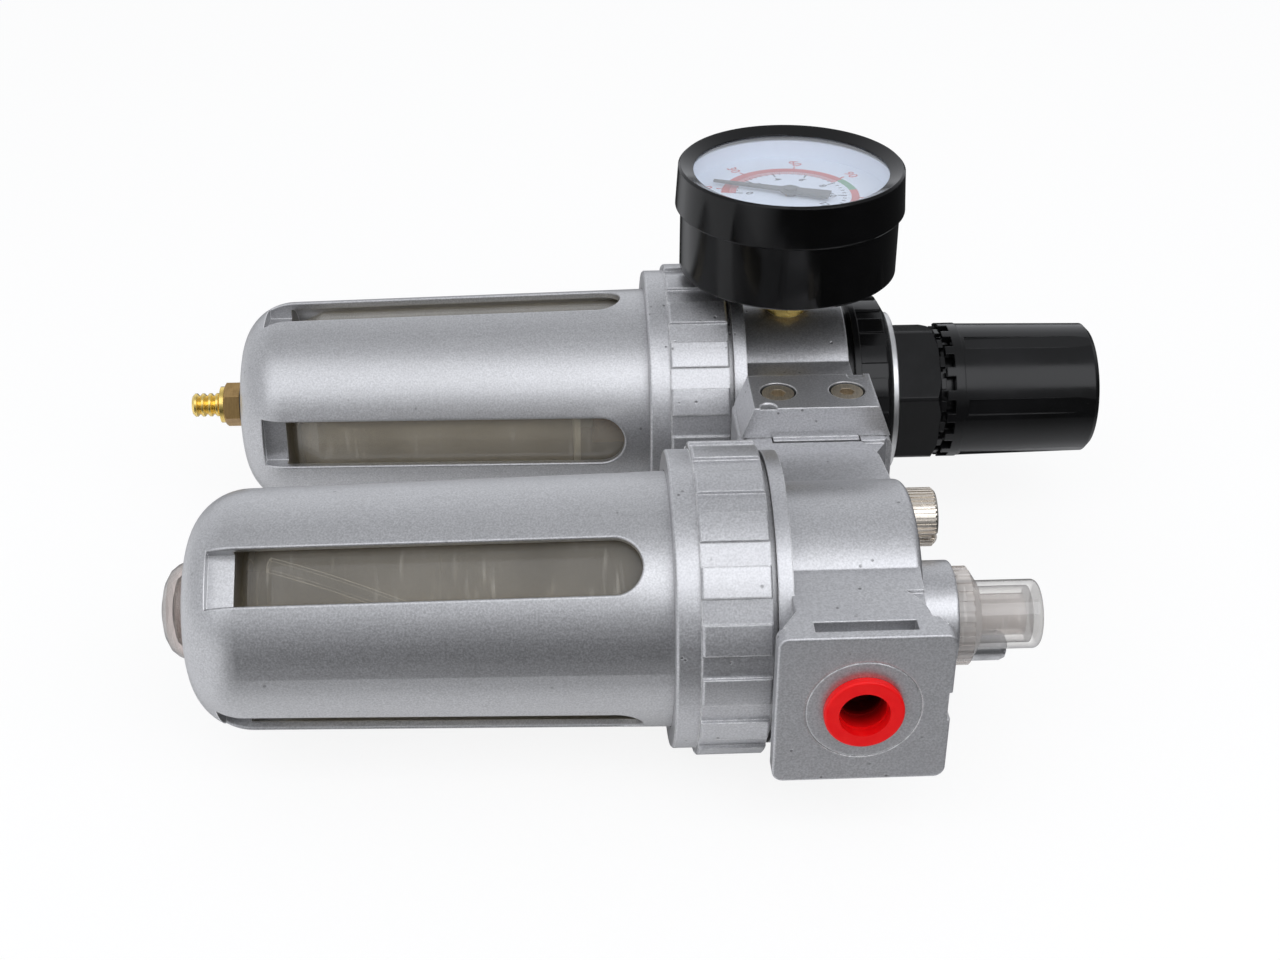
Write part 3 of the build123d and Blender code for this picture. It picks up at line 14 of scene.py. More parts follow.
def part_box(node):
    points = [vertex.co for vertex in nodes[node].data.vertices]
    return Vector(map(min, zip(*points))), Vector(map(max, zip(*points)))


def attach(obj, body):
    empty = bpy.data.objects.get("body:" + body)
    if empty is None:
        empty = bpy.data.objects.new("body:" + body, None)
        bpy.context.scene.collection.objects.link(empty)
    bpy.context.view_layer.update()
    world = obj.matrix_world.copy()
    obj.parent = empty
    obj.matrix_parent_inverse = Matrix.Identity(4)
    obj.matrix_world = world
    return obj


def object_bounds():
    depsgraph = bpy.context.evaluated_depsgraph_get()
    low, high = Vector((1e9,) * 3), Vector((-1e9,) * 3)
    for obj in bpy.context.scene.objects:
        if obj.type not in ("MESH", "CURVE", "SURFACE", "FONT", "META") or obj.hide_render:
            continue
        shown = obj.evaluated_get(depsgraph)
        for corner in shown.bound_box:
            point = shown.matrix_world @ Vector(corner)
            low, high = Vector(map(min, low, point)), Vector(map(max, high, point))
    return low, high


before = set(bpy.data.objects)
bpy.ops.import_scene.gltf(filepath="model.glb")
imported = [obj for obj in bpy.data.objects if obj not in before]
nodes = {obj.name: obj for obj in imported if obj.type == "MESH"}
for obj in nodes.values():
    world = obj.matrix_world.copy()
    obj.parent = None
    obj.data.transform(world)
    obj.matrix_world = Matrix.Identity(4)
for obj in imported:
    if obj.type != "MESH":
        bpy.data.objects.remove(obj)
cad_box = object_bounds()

MM = 0.001
EDGE_SAMPLES = 6            # rays per point of the edge masks (wear and painted highlight) and of the crevice mask (painted shade)
SOFT_SAMPLES = 4            # and of the eased edges
EDGE_HIGHLIGHT_GLOW = 0.04            # painted highlight: glow that keeps the thin bright edges from going dark
FACING_BLEND = 0.5          # the layer weight's even setting
GLASS_IOR = 1.5
MOULDED_IOR = 1.36          # duller than solid plastic, for a textured skin
link_low, link_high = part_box("interface_block")
middle = (link_low + link_high) / 2     # on the port axis, between the modules


def link(thing):
    """Puts an object in the scene."""
    bpy.context.scene.collection.objects.link(thing)
    return thing


# ---------------------------------------------------------------- node graphs

class Graph:
    """A material or world being wired, node by node."""

    def __init__(self, owner):
        owner.use_nodes = True
        self.owner = owner
        self.tree = owner.node_tree
        self.tree.nodes.clear()

    def add(self, kind, inputs=None, **settings):
        """A new node. Inputs take numbers, colours, sockets or nodes."""
        made = self.tree.nodes.new("ShaderNode" + kind)
        for key, value in settings.items():
            setattr(made, key, value)
        for key, value in (inputs or {}).items():
            self.feed(made.inputs[key], value)
        return made

    def feed(self, socket, value):
        if isinstance(value, bpy.types.Node):
            value = value.outputs[0]
        if isinstance(value, bpy.types.NodeSocket):
            self.tree.links.new(value, socket)
        else:
            socket.default_value = value

    def place(self):
        """Position on the piece, in metres, moving with the piece."""
        return self.add("TexCoord").outputs["Object"]

    def grain(self, scale, detail=2.0, rough=0.5, place=None):
        """Noise, by default in the piece's own position."""
        return self.add("TexNoise", {
            "Vector": place or self.place(), "Scale": scale, "Detail": detail,
            "Roughness": rough}).outputs["Fac"]

    def stretched(self, scale_xyz):
        """Position scaled by axis, for brushed and streaked patterns."""
        return self.add("Mapping", {"Vector": self.place(), "Scale": scale_xyz}
                        ).outputs[0]

    def span(self, value, low, high, to_low=0.0, to_high=1.0):
        """Remaps low..high to a new span, clamped."""
        return self.add("MapRange", {
            "Value": value, "From Min": low, "From Max": high,
            "To Min": to_low, "To Max": to_high}).outputs[0]

    def maths(self, operation, a, b=0.0):
        return self.add("Math", {0: a, 1: b}, operation=operation).outputs[0]

    def mix(self, share, a, b):
        """Colour a, turning to colour b as share goes from nought to one."""
        return self.add("Mix", {0: share, 6: a, 7: b},
                        data_type="RGBA").outputs[2]

    def edge(self, radius, low=0.02, high=0.25):
        """One along outside and inside edges, nought on open surfaces."""
        soft = self.add("Bevel", {"Radius": radius},
                        samples=EDGE_SAMPLES).outputs[0]
        hard = self.add("NewGeometry").outputs["Normal"]
        dot = self.add("VectorMath", {0: soft, 1: hard},
                       operation="DOT_PRODUCT").outputs["Value"]
        return self.span(dot, 1.0 - low, 1.0 - high)

    def soft(self, radius):
        """Shading normal with every edge eased by a small radius."""
        return self.add("Bevel", {"Radius": radius},
                        samples=SOFT_SAMPLES).outputs[0]

    def crevice(self, reach):
        """One deep in gaps and corners, nought in the open."""
        open_air = self.add("AmbientOcclusion", {"Distance": reach},
                            samples=EDGE_SAMPLES)
        return self.span(open_air.outputs["AO"], 0.55, 0.12)

    def bump(self, height, depth, strength=1.0, normal=None):
        inputs = {"Height": height, "Distance": depth, "Strength": strength}
        if normal is not None:
            inputs["Normal"] = normal
        return self.add("Bump", inputs).outputs[0]

    def blend(self, share, first, second):
        """The first shader, turning to the second as share goes to one."""
        made = self.add("MixShader", {0: share})
        self.tree.links.new(first.outputs[0], made.inputs[1])
        self.tree.links.new(second.outputs[0], made.inputs[2])
        return made

    def finish(self, surface, kind="OutputMaterial"):
        out = self.add(kind)
        self.tree.links.new(surface.outputs[0], out.inputs["Surface"])
        return self.owner


def grey(value, tint=0.0):
    """A neutral colour, or a slightly cool one with tint above nought."""
    return (value, value, value * (1.0 + tint), 1.0)


WHITE = grey(1.0)
BARE_AND_HIGHLIGHT = grey(0.98)           # paint or plating rubbed through to the metal, and the painted highlight on bright edges
ALLOY_TINT = 0.02           # the silver finishes are this much cool
# painted shade for the castings' gaps and corners
CAST_GAP_SHADE = (0.07, 0.065, 0.055, 1)


def new_graph(name):
    """Starts a new material."""
    return Graph(bpy.data.materials.new(name))


# ------------------------------------------------------------------ materials

def cast_alloy():
    """Silver-painted casting: metal flake, painted shade in gaps, pits, worn edges with a
    painted highlight.
    """
    g = new_graph("cast_alloy")
    flake = g.grain(2500.0, 2.0, 0.6)
    cloud = g.grain(95.0, 3.0, 0.6)
    shade = g.mix(g.span(flake, 0.35, 0.66),
                  grey(0.47, ALLOY_TINT), grey(0.65, ALLOY_TINT))
    shade = g.mix(g.span(cloud, 0.35, 0.7, 0.0, 0.25), shade, grey(0.48, 0.05))
    # painted shade, darkest deep in gaps and corners
    shade = g.mix(g.maths("MULTIPLY", g.crevice(1.8 * MM), 0.8), shade,
                  CAST_GAP_SHADE)
    pores = g.add("TexVoronoi", {"Vector": g.place(), "Scale": 420.0}
                  ).outputs["Distance"]
    sparse = g.span(g.grain(160.0, 1.0), 0.56, 0.64)
    pit = g.maths("MULTIPLY", g.span(pores, 0.17, 0.09), sparse)
    shade = g.mix(g.maths("MULTIPLY", pit, 0.75), shade, grey(0.16))
    # rubbed edges: partly real wear, partly a painted highlight that also glows
    worn = g.maths("MULTIPLY", g.edge(0.4 * MM, 0.03, 0.22),
                   g.span(g.grain(700.0, 2.0), 0.40, 0.54, 0.4, 1.0))
    shade = g.mix(worn, shade, BARE_AND_HIGHLIGHT)
    relief = g.bump(g.grain(1500.0, 2.0, 0.6), 0.035 * MM, 0.4,
                    g.soft(0.5 * MM))
    relief = g.bump(g.maths("SUBTRACT", 1.0, pit), 0.12 * MM, 0.6, relief)
    relief = g.bump(cloud, 0.5 * MM, 0.25, relief)
    rough = g.span(flake, 0.3, 0.7, 0.36, 0.46)
    return g.finish(g.add("BsdfPrincipled", {
        "Base Color": shade, "Metallic": 0.88, "Roughness": rough,
        "Normal": relief, "Emission Color": WHITE,
        "Emission Strength": g.maths("MULTIPLY", worn, EDGE_HIGHLIGHT_GLOW)}))


def satin_guard():
    """Satin silver over drawn steel: fine flake, streaks, specks of dust, edges bright
    with wear and a painted highlight.
    """
    g = new_graph("satin_guard")
    flake = g.grain(2700.0, 2.0, 0.6)
    streak = g.grain(1.0, 3.0, 0.6, g.stretched((900.0, 900.0, 22.0)))
    cloud = g.grain(40.0, 2.0, 0.5)
    shade = g.mix(g.span(flake, 0.34, 0.68),
                  grey(0.44, ALLOY_TINT), grey(0.62, ALLOY_TINT))
    shade = g.mix(g.span(streak, 0.45, 0.75, 0.0, 0.2), shade, grey(0.64))
    shade = g.mix(g.span(cloud, 0.4, 0.7, 0.0, 0.15), shade, grey(0.43))
    speck = g.add("TexVoronoi", {"Vector": g.place(), "Scale": 300.0}
                  ).outputs["Distance"]
    rare = g.span(g.grain(120.0, 1.0), 0.62, 0.66)
    dust = g.maths("MULTIPLY", g.span(speck, 0.13, 0.08), rare)
    shade = g.mix(g.maths("MULTIPLY", dust, 0.6), shade, grey(0.2))
    # painted highlight on every edge and window rim, bare-metal bright and glowing, partly
    # wear
    worn = g.edge(0.35 * MM, 0.02, 0.2)
    shade = g.mix(worn, shade, BARE_AND_HIGHLIGHT)
    relief = g.bump(flake, 0.02 * MM, 0.5, g.soft(0.4 * MM))
    rough = g.span(flake, 0.3, 0.7, 0.33, 0.42)
    return g.finish(g.add("BsdfPrincipled", {
        "Base Color": shade, "Metallic": 0.92, "Roughness": rough,
        "Normal": relief, "Emission Color": WHITE,
        "Emission Strength": g.maths("MULTIPLY", worn, EDGE_HIGHLIGHT_GLOW)}))


def black_plastic(name, level, rough, relief_depth):
    """Moulded black plastic with a fine spark-eroded grain."""
    g = new_graph(name)
    grain = g.grain(2400.0, 3.0, 0.6)
    smear = g.grain(70.0, 3.0, 0.6)
    shade = g.mix(g.span(smear, 0.35, 0.7),
                  grey(level), grey(level * 1.7, 0.08))
    scuff = g.maths("MULTIPLY", g.edge(0.25 * MM), g.span(
        g.grain(500.0, 2.0), 0.4, 0.6, 0.1, 0.7))
    shade = g.mix(g.maths("MULTIPLY", scuff, 0.3), shade, grey(0.09))
    relief = g.bump(grain, relief_depth, 0.4, g.soft(0.35 * MM))
    worn = g.span(smear, 0.3, 0.7, rough - 0.05, rough + 0.07)
    return g.finish(g.add("BsdfPrincipled", {
        "Base Color": shade, "Roughness": worn, "IOR": MOULDED_IOR,
        "Normal": relief}))


def turned_metal(name, colour, dark, rough, tarnish=0.35, gap_shade_reach=0.7 * MM):
    """Turned bar: faint tool rings, patches of tarnish, painted highlight on the edges,
    painted shade in the gaps.
    """
    g = new_graph(name)
    rings = g.grain(1.0, 2.0, 0.5, g.stretched((500.0, 500.0, 6000.0)))
    patch = g.grain(260.0, 3.0, 0.65)
    shade = g.mix(g.span(patch, 0.4, 0.68, 0.0, tarnish), colour, dark)
    shade = g.mix(g.span(rings, 0.35, 0.7, 0.0, 0.25), shade, dark)
    # painted highlight: edges a quarter brighter
    bright = [min(1.0, 1.25 * c) for c in colour[:3]] + [1.0]
    shade = g.mix(g.maths("MULTIPLY", g.edge(0.2 * MM), 0.6), shade, bright)
    # painted shade, darkest deep in gaps and corners
    shade = g.mix(g.maths("MULTIPLY", g.crevice(gap_shade_reach), 0.8), shade, dark)
    relief = g.bump(rings, 0.015 * MM, 0.4, g.soft(0.12 * MM))
    finish = g.span(patch, 0.3, 0.7, rough, rough + 0.14)
    return g.finish(g.add("BsdfPrincipled", {
        "Base Color": shade, "Metallic": 1.0, "Roughness": finish,
        "Normal": relief}))


NOWHERE_THICK = -1.0        # a height below the whole unit


def thin_clear(name, tint, rough, haze, streaks, dust=(0.78, 0.74, 0.66, 1),
               thick_below=NOWHERE_THICK, thick_tint=(0.80, 0.75, 0.74, 1)):
    """Thin clear wall: mostly seen through, with sheen, haze and streaks.

    Below the height thick_below the wall is a thick end cap, with painted
    shade darkening it towards its outline.
    """
    g = new_graph(name)
    scratch = g.grain(1.0, 1.0, 0.5, g.stretched((110.0, 110.0, 900.0)))
    cloud = g.grain(55.0, 3.0, 0.6)
    relief = g.bump(cloud, 0.25 * MM, 0.25)
    height = g.add("SeparateXYZ", {0: g.place()}).outputs["Z"]
    lens = g.span(height, thick_below + 0.5 * MM, thick_below)
    facing = g.add("LayerWeight", {"Blend": FACING_BLEND}).outputs["Facing"]
    # painted shade: towards the thick cap's outline the film turns dark and covers more
    outline = g.maths("MULTIPLY", lens, g.span(facing, 0.35, 0.9))
    through = g.add("BsdfTransparent", {
        "Color": g.mix(lens, tint, thick_tint)})
    sheen = g.add("BsdfGlossy", {
        "Color": WHITE, "Normal": relief,
        "Roughness": g.span(scratch, 0.3, 0.7, rough, rough + 0.06)})
    film = g.add("BsdfDiffuse", {"Color": g.mix(
        outline, dust, (0.09, 0.08, 0.075, 1))})
    inside = g.add("NewGeometry").outputs["Backfacing"]
    outside = g.maths("SUBTRACT", 1.0, inside)
    glance = g.maths("MULTIPLY", outside, g.add("Fresnel", {
        "IOR": GLASS_IOR, "Normal": relief}).outputs[0])
    scored = g.maths("MULTIPLY", g.span(scratch, 0.60, 0.74, 0.0, streaks),
                     g.span(cloud, 0.42, 0.6))
    share = g.maths("ADD", scored, g.span(cloud, 0.3, 0.7, haze * 0.6, haze))
    share = g.maths("ADD", share, g.maths("MULTIPLY", outline, 0.55))
    return g.finish(g.blend(glance, g.blend(share, through, film), sheen))


def clear_tube():
    """Thin clear tube: all but unseen, except for a painted highlight glowing along its
    two sides.
    """
    g = new_graph("clear_tube")
    facing = g.add("LayerWeight", {"Blend": FACING_BLEND}).outputs["Facing"]
    flow = g.grain(1.0, 2.0, 0.5, g.stretched((300.0, 300.0, 60.0)))
    through = g.add("BsdfTransparent", {"Color": (0.96, 0.95, 0.93, 1)})
    # painted highlight: a glowing pale skin seen at the tube's grazing sides
    side = g.add("BsdfPrincipled", {
        "Base Color": (0.92, 0.90, 0.86, 1), "Roughness": 0.2,
        "Emission Color": (0.9, 0.88, 0.82, 1), "Emission Strength": 0.22})
    share = g.maths("MULTIPLY", g.span(facing, 0.55, 0.95, 0.02, 0.8),
                    g.span(flow, 0.3, 0.6, 0.6, 1.0))
    return g.finish(g.blend(share, through, side))


def rubber():
    """Dull black seals."""
    g = new_graph("rubber")
    grain = g.grain(1500.0, 2.0)
    shade = g.mix(grain, grey(0.012), grey(0.035))
    return g.finish(g.add("BsdfPrincipled", {
        "Base Color": shade, "Roughness": g.span(grain, 0.3, 0.7, 0.5, 0.7),
        "Normal": g.bump(grain, 0.03 * MM, 0.5)}))


def sinter():
    """Sintered beads of the filter element, with painted shade between them."""
    g = new_graph("sinter")
    beads = g.add("TexVoronoi", {"Vector": g.place(), "Scale": 2200.0}
                  ).outputs["Distance"]
    # painted shade: each bead light in its middle, dark where it meets the next
    shade = g.mix(beads, (0.80, 0.52, 0.30, 1), (0.36, 0.20, 0.11, 1))
    return g.finish(g.add("BsdfPrincipled", {
        "Base Color": shade, "Roughness": 0.65,
        "Normal": g.bump(g.maths("SUBTRACT", 1.0, beads), 0.15 * MM, 0.8)}))


def printed_paint(name, colour, other):
    """Flat paint or ink that drifts a little between two colours."""
    g = new_graph(name)
    ink = g.grain(1800.0, 2.0, 0.6)
    shade = g.mix(g.span(ink, 0.3, 0.7), colour, other)
    return g.finish(g.add("BsdfPrincipled", {
        "Base Color": shade, "Roughness": g.span(ink, 0.3, 0.7, 0.4, 0.55),
        "Normal": g.bump(ink, 0.005 * MM, 0.3)}))


PLUG_SHADE = (1.2 * MM, 7.0 * MM)       # depths where it starts and is full


def red_plastic():
    """Soft polyethylene plug: waxy red, with painted shade down in its hollow."""
    g = new_graph("red_plastic")
    mottle = g.grain(420.0, 3.0, 0.6)
    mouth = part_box("outlet_plug")[1].x
    # painted shade, darkening down into the hollow
    deep = g.span(g.add("SeparateXYZ", {0: g.place()}).outputs["X"],
                  mouth - PLUG_SHADE[0], mouth - PLUG_SHADE[1])
    shade = g.mix(g.span(mottle, 0.3, 0.7), (0.93, 0.003, 0.006, 1),
                  (0.98, 0.010, 0.010, 1))
    return g.finish(g.add("BsdfPrincipled", {
        "Base Color": g.mix(deep, shade, (0.05, 0.0002, 0.0002, 1)),
        "Roughness": g.span(mottle, 0.3, 0.7, 0.3, 0.42),
        "Specular IOR Level": 0.25,
        "Subsurface Weight": 0.15, "Subsurface Radius": (0.6, 0.05, 0.04),
        "Subsurface Scale": 0.6 * MM,
        "Normal": g.bump(g.grain(1600.0, 2.0), 0.02 * MM, 0.4)}))


BRASS = (0.98, 0.74, 0.24, 1)
BRONZE = (0.50, 0.33, 0.14, 1)
DOME_TINT = (0.96, 0.955, 0.95, 1)
ALL_THICK = 1.0             # a height above the whole unit
looks = {
    "cast": cast_alloy(),
    "guard": satin_guard(),
    "black": black_plastic("satin_black", 0.004, 0.19, 0.010 * MM),
    "gloss_black": black_plastic("gloss_black", 0.002, 0.13, 0.005 * MM),
    "brass": turned_metal("brass", BRASS, (0.50, 0.30, 0.07, 1), 0.2,
                          tarnish=0.2),
    "bronze": turned_metal("bronze", BRONZE, (0.16, 0.09, 0.035, 1), 0.34),
    "steel": turned_metal("steel", grey(0.55), (0.2, 0.17, 0.14, 1), 0.3),
    "screw": turned_metal("screw", (0.80, 0.71, 0.57, 1),
                          (0.14, 0.10, 0.06, 1), 0.36, gap_shade_reach=2.0 * MM),
    "nickel": turned_metal("nickel", (0.78, 0.72, 0.64, 1),
                           (0.26, 0.22, 0.18, 1), 0.24, tarnish=0.08),
    "alloy": turned_metal("alloy", grey(0.62, ALLOY_TINT), grey(0.3), 0.3),
    "plate": turned_metal("plate", grey(0.74), grey(0.42), 0.28),
    "bowl": thin_clear("bowl_plastic", (0.90, 0.87, 0.80, 1), 0.08, 0.12, 0.10,
                       thick_below=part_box("lubricator_guard")[0].z),
    "filter_bowl": thin_clear("filter_bowl_plastic", (0.93, 0.90, 0.83, 1),
                              0.07, 0.19, 0.08),
    "tube": clear_tube(),
    "dome": thin_clear("dome_plastic", DOME_TINT, 0.02, 0.10, 0.1,
                       dust=(0.9, 0.88, 0.86, 1),
                       thick_below=ALL_THICK, thick_tint=DOME_TINT),
    "ring": thin_clear("ring_plastic", (0.88, 0.85, 0.83, 1), 0.1, 0.42, 0.3,
                       dust=(0.86, 0.83, 0.80, 1)),
    "dial": printed_paint("dial_paint", (0.80, 0.86, 0.95, 1),
                          (0.85, 0.90, 0.97, 1)),
    "white": printed_paint("white_plastic", (0.74, 0.74, 0.72, 1),
                           (0.8, 0.8, 0.78, 1)),
    "ink": printed_paint("black_ink", grey(0.03), grey(0.06)),
    "red_ink": printed_paint("red_ink", (0.6, 0.05, 0.04, 1),
                             (0.68, 0.09, 0.07, 1)),
    "green_ink": printed_paint("green_ink", (0.07, 0.3, 0.12, 1),
                               (0.1, 0.36, 0.16, 1)),
    "pointer": printed_paint("pointer_paint", (0.07, 0.075, 0.065, 1),
                             (0.1, 0.105, 0.095, 1)),
    "sinter": sinter(),
    "rubber": rubber(),
    "spring": turned_metal("spring_steel", grey(0.45), grey(0.18), 0.26),
    "red": red_plastic(),
    "glass": thin_clear("gauge_glass", (0.98, 0.99, 1.0, 1), 0.02, 0.14, 0.02,
                        dust=(0.86, 0.90, 0.98, 1)),
}

FINISH = {
    "cast": ("regulator_body", "lubricator_body", "filter_ring",
             "lubricator_ring", "clamp_front", "clamp_back",
             "interface_block"),
    "guard": ("filter_guard", "lubricator_guard"),
    "black": ("bonnet", "bonnet_ring", "knob", "deflector"),
    "white": ("baffle",),
    "gloss_black": ("gauge_case", "gauge_bezel"),
    "brass": ("drain_barb", "gauge_stem", "gauge_movement", "spring_nut",
              "valve_stem"),
    "bronze": ("drain_nut",),
    "screw": ("clamp_screws",),
    "steel": ("adjusting_screw",),
    "nickel": ("filler_plug",),
    "alloy": ("drip_screw", "pressure_plate"),
    "plate": ("bonnet_plate",),
    "bowl": ("lubricator_bowl",),
    "filter_bowl": ("filter_bowl",),
    "dome": ("sight_dome",),
    "ring": ("dome_ring", "drip_tube"),
    "tube": ("siphon_tube",),
    "dial": ("gauge_dial",),
    "glass": ("gauge_glass",),
    "pointer": ("gauge_pointer",),
    "sinter": ("filter_element",),
    "rubber": ("filter_seal", "lubricator_seal", "drain_seal", "drain_washer",
               "drip_seal", "filler_seal", "interface_seals", "diaphragm"),
    "spring": ("regulating_spring", "valve_spring"),
    "red": ("outlet_plug",),
}


def wear(piece, look):
    """Gives a piece one look, in place of any it came with."""
    piece.data.materials.clear()
    piece.data.materials.append(looks[look])


for look, names in FINISH.items():
    for name in names:
        wear(nodes[name], look)


# ----------------------------------------------------------- gauge dial marks

def new_piece(name, mesh, look, body):
    """Adds a modelled piece that moves with one body of the frame."""
    piece = link(bpy.data.objects.new(name, mesh))
    piece.data.materials.append(looks[look])
    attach(piece, body)


class DialPrint:
    """Raised ink on the dial face. Angles run clockwise from the inlet."""

    THICK = 0.06 * MM       # of the ink
    SHEET = 0.5 * MM        # of the dial under it

    def __init__(self):
        low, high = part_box("gauge_dial")
        self.centre = Vector(((low.x + high.x) / 2, high.y - self.SHEET,
                              (low.z + high.z) / 2))
        self.shape = bmesh.new()

    def spot(self, radius, angle, lift=0.0):
        """A point on the dial's face, or lifted off it."""
        turn = math.radians(angle)
        return self.centre + Vector((-radius * math.cos(turn), -lift,
                                     radius * math.sin(turn)))

    def sector(self, inner, outer, start, end, steps):
        """A flat band between two radii, with thickness."""
        rows = []
        for i in range(steps + 1):
            angle = start + (end - start) * i / steps
            rows.append([self.shape.verts.new(self.spot(r, angle, lift))
                         for r, lift in ((inner, 0.0), (inner, self.THICK),
                                         (outer, self.THICK), (outer, 0.0))])
        for a, b in zip(rows, rows[1:]):
            for i in range(4):
                j = (i + 1) % 4
                self.shape.faces.new((a[i], a[j], b[j], b[i]))
        self.shape.faces.new(rows[0][::-1])
        self.shape.faces.new(rows[-1])

    def tick(self, inner, outer, angle, width):
        """A short radial mark."""
        half = math.degrees(width / 2 / outer)
        self.sector(inner, outer, angle - half, angle + half, 1)

    def take(self, name, look):
        """Turns the marks drawn so far into one piece, and starts afresh."""
        bmesh.ops.recalc_face_normals(self.shape, faces=self.shape.faces)
        mesh = bpy.data.meshes.new(name)
        self.shape.to_mesh(mesh)
        self.shape.clear()
        new_piece(name, mesh, look, "unit")


def numerals(name, look, labels, radius, size, dial):
    """Raised figures, each at its angle, all upright to the dial's "up"."""
    figures = bmesh.new()
    upright = math.radians(UPRIGHT)
    up = Vector((-math.cos(upright), 0.0, math.sin(upright)))
    front = Vector((0.0, -1.0, 0.0))
    across = up.cross(front)
    turn = Matrix((across, up, front)).transposed().to_4x4()
    for text, angle in labels:
        curve = bpy.data.curves.new(name, "FONT")
        curve.body = text
        curve.size = size
        curve.extrude = DialPrint.THICK
        curve.align_x = "CENTER"
        curve.align_y = "CENTER"
        curve.resolution_u = FIGURE_STEPS
        holder = bpy.data.objects.new(name, curve)
        figure = bpy.data.meshes.new_from_object(holder)
        figure.transform(Matrix.Translation(dial.spot(radius, angle)) @ turn)
        figures.from_mesh(figure)
        bpy.data.objects.remove(holder)
    mesh = bpy.data.meshes.new(name)
    figures.to_mesh(mesh)
    figures.free()
    new_piece(name, mesh, look, "unit")


# Angles are in degrees, clockwise from the inlet side. Pairs of lengths are
# inner and outer radii.
UPRIGHT = 66.0              # the dial's own "up"
FIGURE_STEPS = 3            # segments per curve of a figure's outline
SCALE_FROM, SCALE_TO = -84.0, 190.0
GREEN_FROM, GREEN_TO = 57.0, 82.0
BAND = (14.1 * MM, 15.9 * MM)
BAND_STEPS = 80
GREEN_STEPS = 16
RED_TICK = (12.5 * MM, 14.4 * MM)
RED_TICKS = 60
RED_TICK_WIDTH = 0.3 * MM
RED_MARK = (15.5 * MM, 17.2 * MM)
MARK_WIDTH = 0.34 * MM
RED_FIGURES = (("0", -76.0), ("30", -37.0), ("60", 10.0), ("90", 54.0),
               ("120", 100.0), ("150", 145.0))
RED_FIGURE_R, RED_FIGURE_SIZE = 19.4 * MM, 3.4 * MM
BLACK_STEP = 7.2
BLACK_TICKS = 39
BLACK_LONG_EVERY = 5
BLACK_TICK = (12.1 * MM, 13.0 * MM)
BLACK_TICK_WIDTH = 0.2 * MM
BLACK_LONG_IN = 10.9 * MM
BLACK_FIGURE_STEP = 36.0
BLACK_FIGURES = ("0", "2", "4", "6", "8", "10", "12")
BLACK_FIGURE_R, BLACK_FIGURE_SIZE = 9.4 * MM, 2.6 * MM

dial = DialPrint()
dial.sector(*BAND, SCALE_FROM, GREEN_FROM, BAND_STEPS)
dial.sector(*BAND, GREEN_TO, SCALE_TO, BAND_STEPS)
for i in range(RED_TICKS + 1):
    at = SCALE_FROM + (GREEN_FROM - SCALE_FROM) * i / RED_TICKS
    dial.tick(*RED_TICK, at, RED_TICK_WIDTH)
for text, at in RED_FIGURES:
    dial.tick(*RED_MARK, at, MARK_WIDTH)
dial.take("dial_red_scale", "red_ink")
dial.sector(*BAND, GREEN_FROM, GREEN_TO, GREEN_STEPS)
dial.take("dial_green_zone", "green_ink")
for i in range(BLACK_TICKS):
    at = SCALE_FROM + BLACK_STEP * i
    if i % BLACK_LONG_EVERY == 0:
        dial.tick(BLACK_LONG_IN, BLACK_TICK[1], at, MARK_WIDTH)
    else:
        dial.tick(*BLACK_TICK, at, BLACK_TICK_WIDTH)
dial.take("dial_black_scale", "ink")
numerals("dial_red_figures", "red_ink", RED_FIGURES, RED_FIGURE_R,
         RED_FIGURE_SIZE, dial)
numerals("dial_black_figures", "ink",
         [(text, SCALE_FROM + BLACK_FIGURE_STEP * i)
          for i, text in enumerate(BLACK_FIGURES)],
         BLACK_FIGURE_R, BLACK_FIGURE_SIZE, dial)


# --------------------------------------------------------------------- studio

LENS = 52.75                # millimetres
SENSOR = 36.0               # millimetres, its width
CLIP = (0.01, 20.0)         # metres
CAMERA_RIGHT = Vector((0.05123, -0.00355, 0.99868))
CAMERA_BACK = Vector((0.85842, -0.51090, -0.04585))
CAMERA_STAND = Vector((358.51, -215.48, -56.7)) * MM    # from the middle
FLOOR_HALF = 3.0            # half the floor's side, metres
FLOOR_GAP = 0.3 * MM        # between the unit's back and the floor
FLOOR_GLOW = 0.16           # lifts the paper's shadows
FLOOR_WHITE = 0.85          # share of plain white the camera sees
COOL_TINT = (0.965, 0.985, 1.03, 1)
LAMP_TINT = (0.97, 0.985, 1.02)
SKY_BASE = 0.31             # level of light from where no part is
SKY_PARTS = (               # direction, cosines where it starts and is
                            # full, and its level
    ((0.50, -0.86, 0.12), 0.45, 0.95, 0.34),        # overhead
    ((-0.97, -0.22, -0.05), 0.40, 0.92, 0.60),      # behind the unit
    ((0.25, -0.15, -0.95), 0.45, 0.88, 0.40),       # beside the bowls' ends
    ((0.99, 0.12, 0.0), 0.72, 0.95, -0.17),         # dark gap at the camera
)
SOFTBOXES = (               # name, direction, distance, size, watts
    ("key", (0.655, -0.755, 0.42), 0.9, (0.62, 0.8), 3.0),
    ("fill", (0.55, -0.80, -0.5), 1.0, (0.7, 0.9), 1.6),
)


def camera():
    """Stands where the photo was taken from."""
    eye = link(bpy.data.objects.new("camera", bpy.data.cameras.new("camera")))
    eye.data.lens = LENS
    eye.data.sensor_width = SENSOR
    eye.data.clip_start, eye.data.clip_end = CLIP
    up = CAMERA_BACK.cross(CAMERA_RIGHT)
    turn = Matrix((CAMERA_RIGHT, up, CAMERA_BACK)).transposed()
    stand = Matrix.Translation(middle + CAMERA_STAND)
    eye.matrix_world = stand @ turn.to_4x4()
    bpy.context.scene.camera = eye


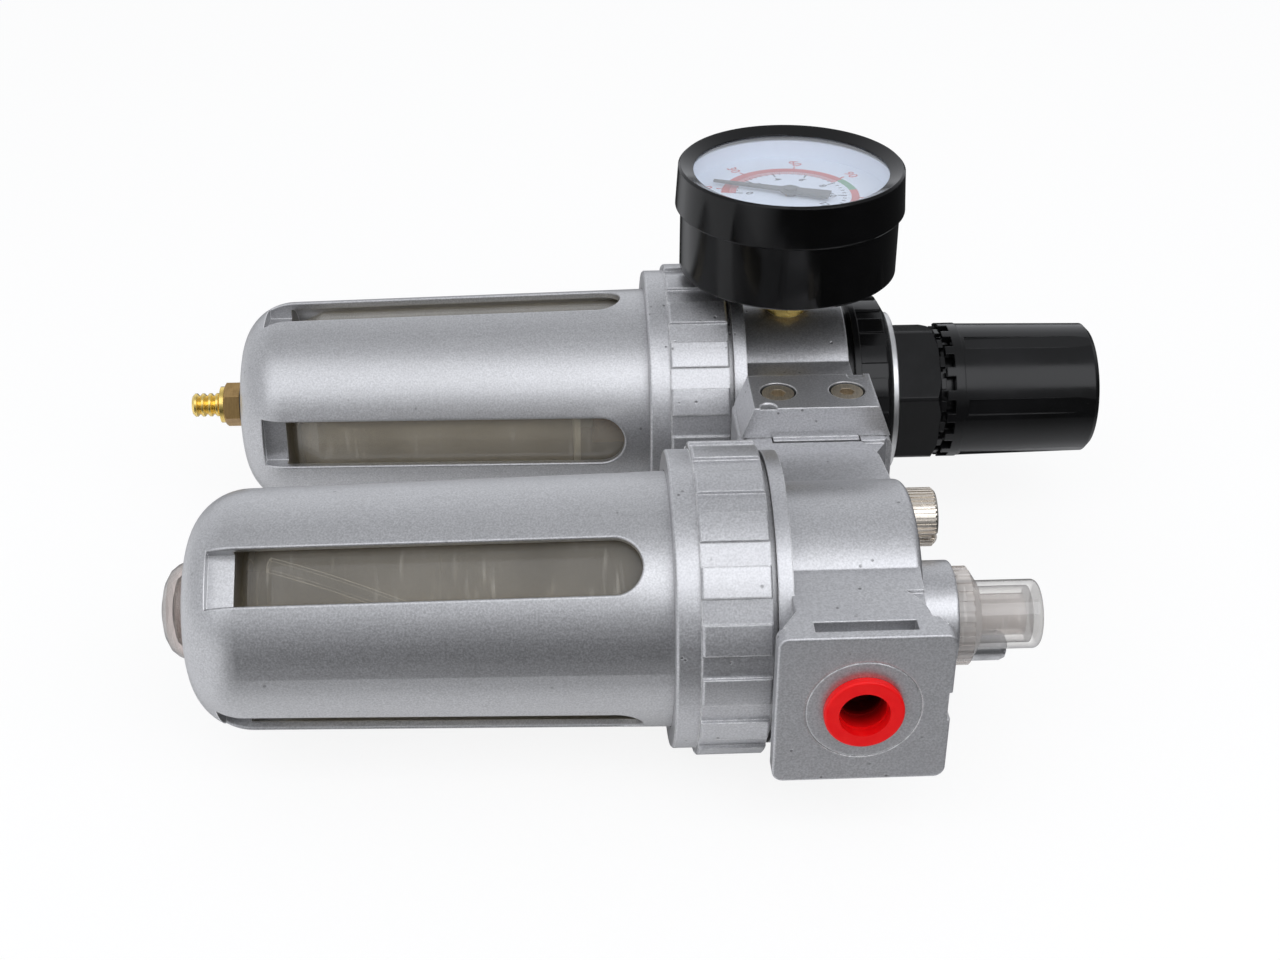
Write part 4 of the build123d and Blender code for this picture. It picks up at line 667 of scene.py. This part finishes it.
def floor_paper():
    """White paper to the camera. Other rays meet a darker sheet at low
    angles, except beside the bowls' ends, and nothing from behind."""
    g = new_graph("floor_paper")
    fibre = g.grain(900.0, 3.0, 0.6)
    shade = g.mix(g.span(fibre, 0.3, 0.7), grey(0.90), grey(0.94))
    paper = g.add("BsdfPrincipled", {
        "Base Color": shade, "Roughness": 1.0, "Specular IOR Level": 0.0,
        "Emission Color": shade, "Emission Strength": FLOOR_GLOW})
    dim = g.add("BsdfDiffuse", {"Color": grey(0.05)})
    way = g.add("NewGeometry").outputs["Incoming"]
    axes = g.add("SeparateXYZ", {0: way})
    steep = g.span(g.maths("ABSOLUTE", axes.outputs["Y"]), 0.45, 0.9)
    bowl_end = g.span(axes.outputs["Z"], 0.25, 0.6)
    near = g.blend(g.maths("MAXIMUM", steep, bowl_end), dim, paper)
    glow = g.add("Emission", {"Color": WHITE, "Strength": 1.0})
    shown = g.blend(FLOOR_WHITE, paper, glow)
    seen = g.add("LightPath").outputs["Is Camera Ray"]
    behind = g.add("NewGeometry").outputs["Backfacing"]
    clear = g.add("BsdfTransparent")
    return g.finish(g.blend(behind, g.blend(seen, near, shown), clear))


def floor():
    """A wide pale sheet under the unit's back."""
    y = cad_box[1].y + FLOOR_GAP
    half = FLOOR_HALF
    mesh = bpy.data.meshes.new("floor")
    corners = [(-half, y, -half), (half, y, -half), (half, y, half),
               (-half, y, half)]
    mesh.from_pydata(corners, [], [(0, 1, 2, 3)])
    mesh.materials.append(floor_paper())
    link(bpy.data.objects.new("floor", mesh))


def tent():
    """Soft light from all round, plain white to the camera."""
    world = bpy.data.worlds.new("tent")
    bpy.context.scene.world = world
    g = Graph(world)
    way = g.add("TexCoord").outputs["Generated"]
    level = SKY_BASE
    for direction, start, full, share in SKY_PARTS:
        dot = g.add("VectorMath", {0: way, 1: direction},
                    operation="DOT_PRODUCT").outputs["Value"]
        level = g.maths("ADD", g.span(dot, start, full, 0.0, share), level)
    sky = g.add("Background", {"Color": COOL_TINT, "Strength": level})
    seen = g.add("LightPath").outputs["Is Camera Ray"]
    plain = g.add("Background", {"Color": WHITE, "Strength": 1.0})
    g.finish(g.blend(seen, sky, plain), "OutputWorld")


def softbox(name, direction, distance, size, power):
    """A wide lamp that faces the middle of the unit."""
    lamp = bpy.data.lights.new(name, "AREA")
    lamp.shape = "RECTANGLE"
    lamp.size, lamp.size_y = size
    lamp.energy = power
    lamp.color = LAMP_TINT
    holder = link(bpy.data.objects.new(name, lamp))
    way = Vector(direction).normalized()
    holder.location = middle + way * distance
    holder.rotation_mode = "QUATERNION"
    holder.rotation_quaternion = way.to_track_quat("Z", "Y")


camera()
floor()
tent()
for box in SOFTBOXES:
    softbox(*box)
bpy.context.scene.view_settings.view_transform = "Standard"
